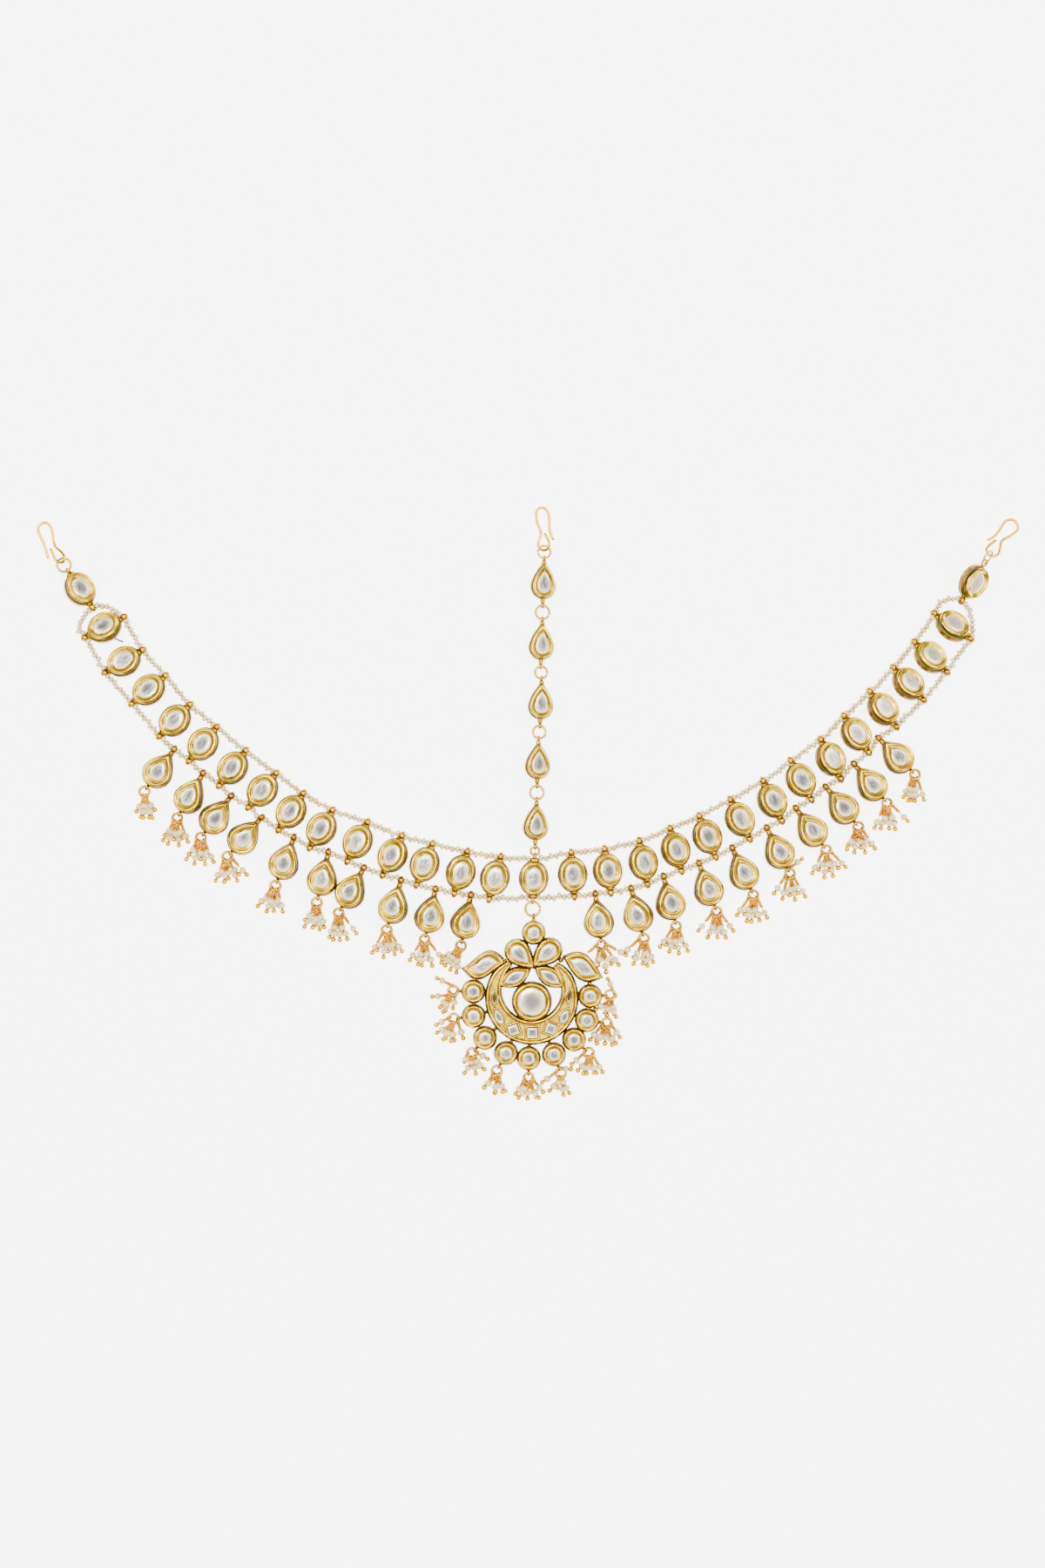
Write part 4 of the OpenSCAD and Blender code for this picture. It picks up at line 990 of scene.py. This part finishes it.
for side, rows in DROPS.items():
    build = Build()
    for row in rows:
        hole = axis_point(row, DROP[1], -DROP_BOTTOM)
        centre = (hole + ring_end(hole, row[2] + 180, TASSEL_RING_R, TASSEL_RING_LOW)) / 2
        balls = []
        for way in row[4]:
            reach = rng.uniform(7.7, 8.5) if way > 180 else 6.0
            balls.append(centre + reach * toward(math.radians(way)))
        tassel(build, hole, row[2] + 180, balls)
    build.finish("tassels_" + side, "tassel")

build = Build()
for x, y, way, balls in ROUNDS:
    tassel(build, (x, y, LUG_Z) + ROUND_LOOP * toward(math.radians(way)), way, balls)
build.finish("tassels_pendant", "tassel")


# Pendant

build = Build()
gems = stones["pendant"]


def framed(x, y, angle, outline, inset, rim_w, long_axis=1, dark=1.0, lower=0.0, tone=None):
    """A setting of the pendant, lying flat, with its stone."""
    place = flat_place(x, y, angle)
    rim(build, outline, place, inset, rim_w, base=0.42, wobble=0.03, lower=lower)
    stone(gems, outline, place, inset, long_axis, lower, dark, tone=tone)


small_round = (circle(SMALL_ROUND_R), 1.6, 0.9)
for x, y, way, _ in ROUNDS:
    framed(x, y, 0, *small_round)
    eyelet(build, flat_place(x, y, way - 90), ROUND_LOOP, LUG_DARK, ROUND_EYE, 3.1, 0.8)
framed(*TOP_ROUND, 0, *small_round)
top_loop = pendant_low[1] - TOP_ROUND[1]
eyelet(build, flat_place(*TOP_ROUND), top_loop, LUG_DARK, TOP_EYE, 3.1, 0.8)
framed(*CENTRE_ROUND, 0, circle(LARGE_ROUND_R, 60), 1.65, 1.05, dark=0.9, tone=-0.1)
for x, y, angle, half_l, half_w in PETALS:
    framed(x, y, angle - 90, teardrop(half_l, half_w), 1.7, 0.95)
for x, y, angle, half_l, half_w in MARQUISES:
    framed(x, y, angle, leaf(half_l, half_w), 1.15, 0.6, long_axis=0, lower=0.15)
for x, y, angle, half_l, half_w, bend in LEAVES:
    framed(x, y, angle, leaf(half_l, half_w, bend), 1.55, 0.9, long_axis=0)


def crescent():
    """A crescent with two rolled rims and a sunk floor."""
    n = 110
    t = np.linspace(0, 1, n)
    outer_way = np.radians(124 + t * (360 - 124 + 54))
    inner_way = np.radians(131 + t * (360 - 131 + 47))
    near_horn = np.clip(1 - np.minimum(t, 1 - t) / 0.09, 0, 1)
    outer_r = CRESCENT_R - 0.75 * near_horn ** 1.5
    inner_r = CRESCENT_OPEN_R + 0.3 * near_horn ** 1.5
    outer = CRESCENT + outer_r[:, None] * np.stack([np.cos(outer_way), np.sin(outer_way)], 1)
    inner = CRESCENT_OPEN + inner_r[:, None] * np.stack([np.cos(inner_way), np.sin(inner_way)], 1)
    # Distances here are inwards, from both edges
    edge = profile(
        (SHADED_WALL, [(-0.25, 0.0), (-0.42, 0.4), (-0.36, 1.4), (-0.4, 1.9), (-0.08, 2.3)]),
        (ENAMEL_AND_SHADE, [(0.1, 2.5)]), (EDGE, [(0.0, 2.65), (-0.05, 2.95), (0.04, 3.25)]),
        (RIM, [(0.2, 3.47), (0.42, 3.57), (0.66, 3.54), (0.86, 3.4)]),
        (FLOOR_GOLD, [(0.98, 3.2), (1.1, 3.08), (1.35, 3.03)]))
    rings = []
    for k in range(n):
        span = inner[k] - outer[k]
        width = np.linalg.norm(span)
        span = span / width
        squeeze = min(1.0, width / 2.75)
        row = [(*(outer[k] + span * s * squeeze), z) for s, z, _ in edge]
        row += [(*(inner[k] - span * s * squeeze), z) for s, z, _ in reversed(edge)]
        rings.append(row)
    rings = np.array(rings)
    # Shrinking rings close the horns.
    for end in (0, n - 1):
        away = rings[end] - rings[1 if end == 0 else n - 2]
        away = away.mean(0) / np.linalg.norm(away.mean(0)) * (1, 1, 0)
        middle = rings[end][:, :2].mean(0)
        extra = []
        for a in np.radians((25, 50, 70, 84)):
            ring = rings[end].copy()
            ring[:, :2] = middle + (ring[:, :2] - middle) * math.cos(a) + away[:2] * math.sin(a)
            ring[:, 2] = ring[:, 2] * (0.55 + 0.45 * math.cos(a))
            extra.append(ring)
        if end == 0:
            rings = np.concatenate([np.array(extra[::-1]), rings])
        else:
            rings = np.concatenate([rings, np.array(extra)])
    across = np.transpose(rings, (1, 0, 2))
    kinds = [k for _, _, k in edge[1:]] + [FLOOR_GOLD] + [k for _, _, k in reversed(edge[1:])]
    build.loft(across, kinds, 0.5, closed=False)
    build.loft(np.stack([across[-1], across[0]]), SHADED_WALL, 0.5, closed=False)
    for ring in (rings[0], rings[-1]):
        build.add(ring, [tuple(range(len(ring)))], RIM)


crescent()


def boxed(x, y, angle, outline, frame_w, kind=STONE):
    """A stone of the crescent in its own raised frame."""
    place = flat_place(x, y, angle)
    w = frame_w
    # The frame's inner side down to the stone is in the pit-shade material: painted shade in the recess.
    steps = profile(
        (EDGE, [(w, 2.95), (0.96 * w, 3.18)]), (LUG, [(0.8 * w, 3.38)]), (RIM, [(0.5 * w, 3.48)]),
        (LUG, [(0.25 * w, 3.42)]), (PIT_SHADE, [(0.14, 3.3), (0.0, 3.16)]), (FOIL, [(-0.04, 3.12), (-0.2, 3.08)]))
    n = len(outline(0))
    rings = [place(np.column_stack([outline(o), np.full(n, z)])) for o, z, _ in steps]
    build.loft(rings, [k for _, _, k in steps[1:]], rng.uniform(0, 1), end_cap=FOIL)
    stone(gems, outline, place, 0.06, long_axis=0, lower=0.42, kind=kind)


for x, y, angle, half in SQUARES:
    boxed(x, y, angle, square(half + 0.1), 0.85)
# The two narrowest slivers are drawn wholly in the dark brown of the pit shade, not in the stone material.
for x, y, angle, half_l, half_w in SLIVERS:
    boxed(x, y, angle, leaf(half_l, half_w + 0.1), 0.7, PIT_SHADE if half_w < 1 else STONE)
for x, y in GRANULES:
    build.ball((x, y, 1.7), (1.25, 0.9, 0.9), (0, 0, 1), LUG, rng.uniform(0, 1), 16, 8)
# Short bars join the small rounds to the crescent
BAR_R = 0.6
BAR_Z = 1.2
for x, y, _, _ in ROUNDS:
    run = np.array([x - CRESCENT[0], y - CRESCENT[1]])
    way = run / np.linalg.norm(run)
    inner_end = (*(CRESCENT + way * (CRESCENT_R - BAR_R)), BAR_Z)
    outer_end = (*((x, y) - way * (SMALL_ROUND_R - 0.4)), BAR_Z)
    build.tube(np.array([inner_end, outer_end]), BAR_R, SHADED_WALL, 8)
build.finish("pendant_frame", "gold")

for key, pile in stones.items():
    pile.finish(key + "_stones", "stone")


# Floor, light and camera

FLOOR_HALF = 9.0
FLOOR_Z = -0.00003
corners = [(x * FLOOR_HALF, y * FLOOR_HALF, FLOOR_Z) for x, y in ((-1, -1), (1, -1), (1, 1), (-1, 1))]
floor_mesh = bpy.data.meshes.new("floor")
floor_mesh.from_pydata(corners, [], [(0, 1, 2, 3)])
floor_material, _, floor_shader = new_material("paper_floor")
put(floor_shader, {
    "Base Color": (0.93, 0.93, 0.93, 1), "Roughness": 0.9, "Specular IOR Level": 0.1,
    "Emission Color": (1, 1, 1, 1), "Emission Strength": 5.0})
floor_mesh.materials.append(floor_material)
floor = add_object("floor", floor_mesh)

world = bpy.data.worlds.new("studio")
bpy.context.scene.world = world
world.use_nodes = True
sky = world.node_tree
coords = sky.nodes.new("ShaderNodeTexCoord")
parts = sky.nodes.new("ShaderNodeSeparateXYZ")
put(parts, {"Vector": coords.outputs["Generated"]})
# Dark near the horizon and white overhead
shade = ramp_node(sky.nodes, parts.outputs["Z"], [
    (0.0, (0.05, 0.047, 0.044)), (0.70, (0.13, 0.125, 0.12)), (0.89, (1.0, 1.0, 1.0))])
put(sky.nodes["Background"], {"Color": shade, "Strength": 4.0})

LIT_SPOT = (0, 0.02, 0)


def softbox(name, place, size, power):
    light = bpy.data.lights.new(name, "AREA")
    light.shape = "SQUARE"
    light.size = size
    light.energy = power
    lamp = add_object(name, light)
    lamp.location = place
    away = np.array(place) - LIT_SPOT
    tilt = math.acos(away[2] / np.linalg.norm(away))
    lamp.rotation_euler = (tilt, 0, math.atan2(away[1], away[0]) + math.pi / 2)


softbox("left_light", (-1.1, 0.7, 1.6), 0.7, 18)
softbox("right_light", (1.4, 1.1, 1.7), 0.9, 24)
softbox("low_light", (1.1, -0.8, 1.4), 0.5, 7)
softbox("top_light", (-0.12, 0.2, 1.7), 0.3, 10)

# Straight down; at the height AIM_Z the picture is FRAME_H metres from top to bottom
FRAME_H = 0.486
CAMERA_Z = 1.5
AIM_Z = 0.003
SENSOR = 36
optics = bpy.data.cameras.new("camera")
optics.sensor_fit = "VERTICAL"
optics.sensor_height = SENSOR
optics.lens = SENSOR * (CAMERA_Z - AIM_Z) / FRAME_H
optics.clip_end = 20
camera = add_object("camera", optics)
camera.location = (-0.00297, 0.02916, CAMERA_Z)
bpy.context.scene.camera = camera
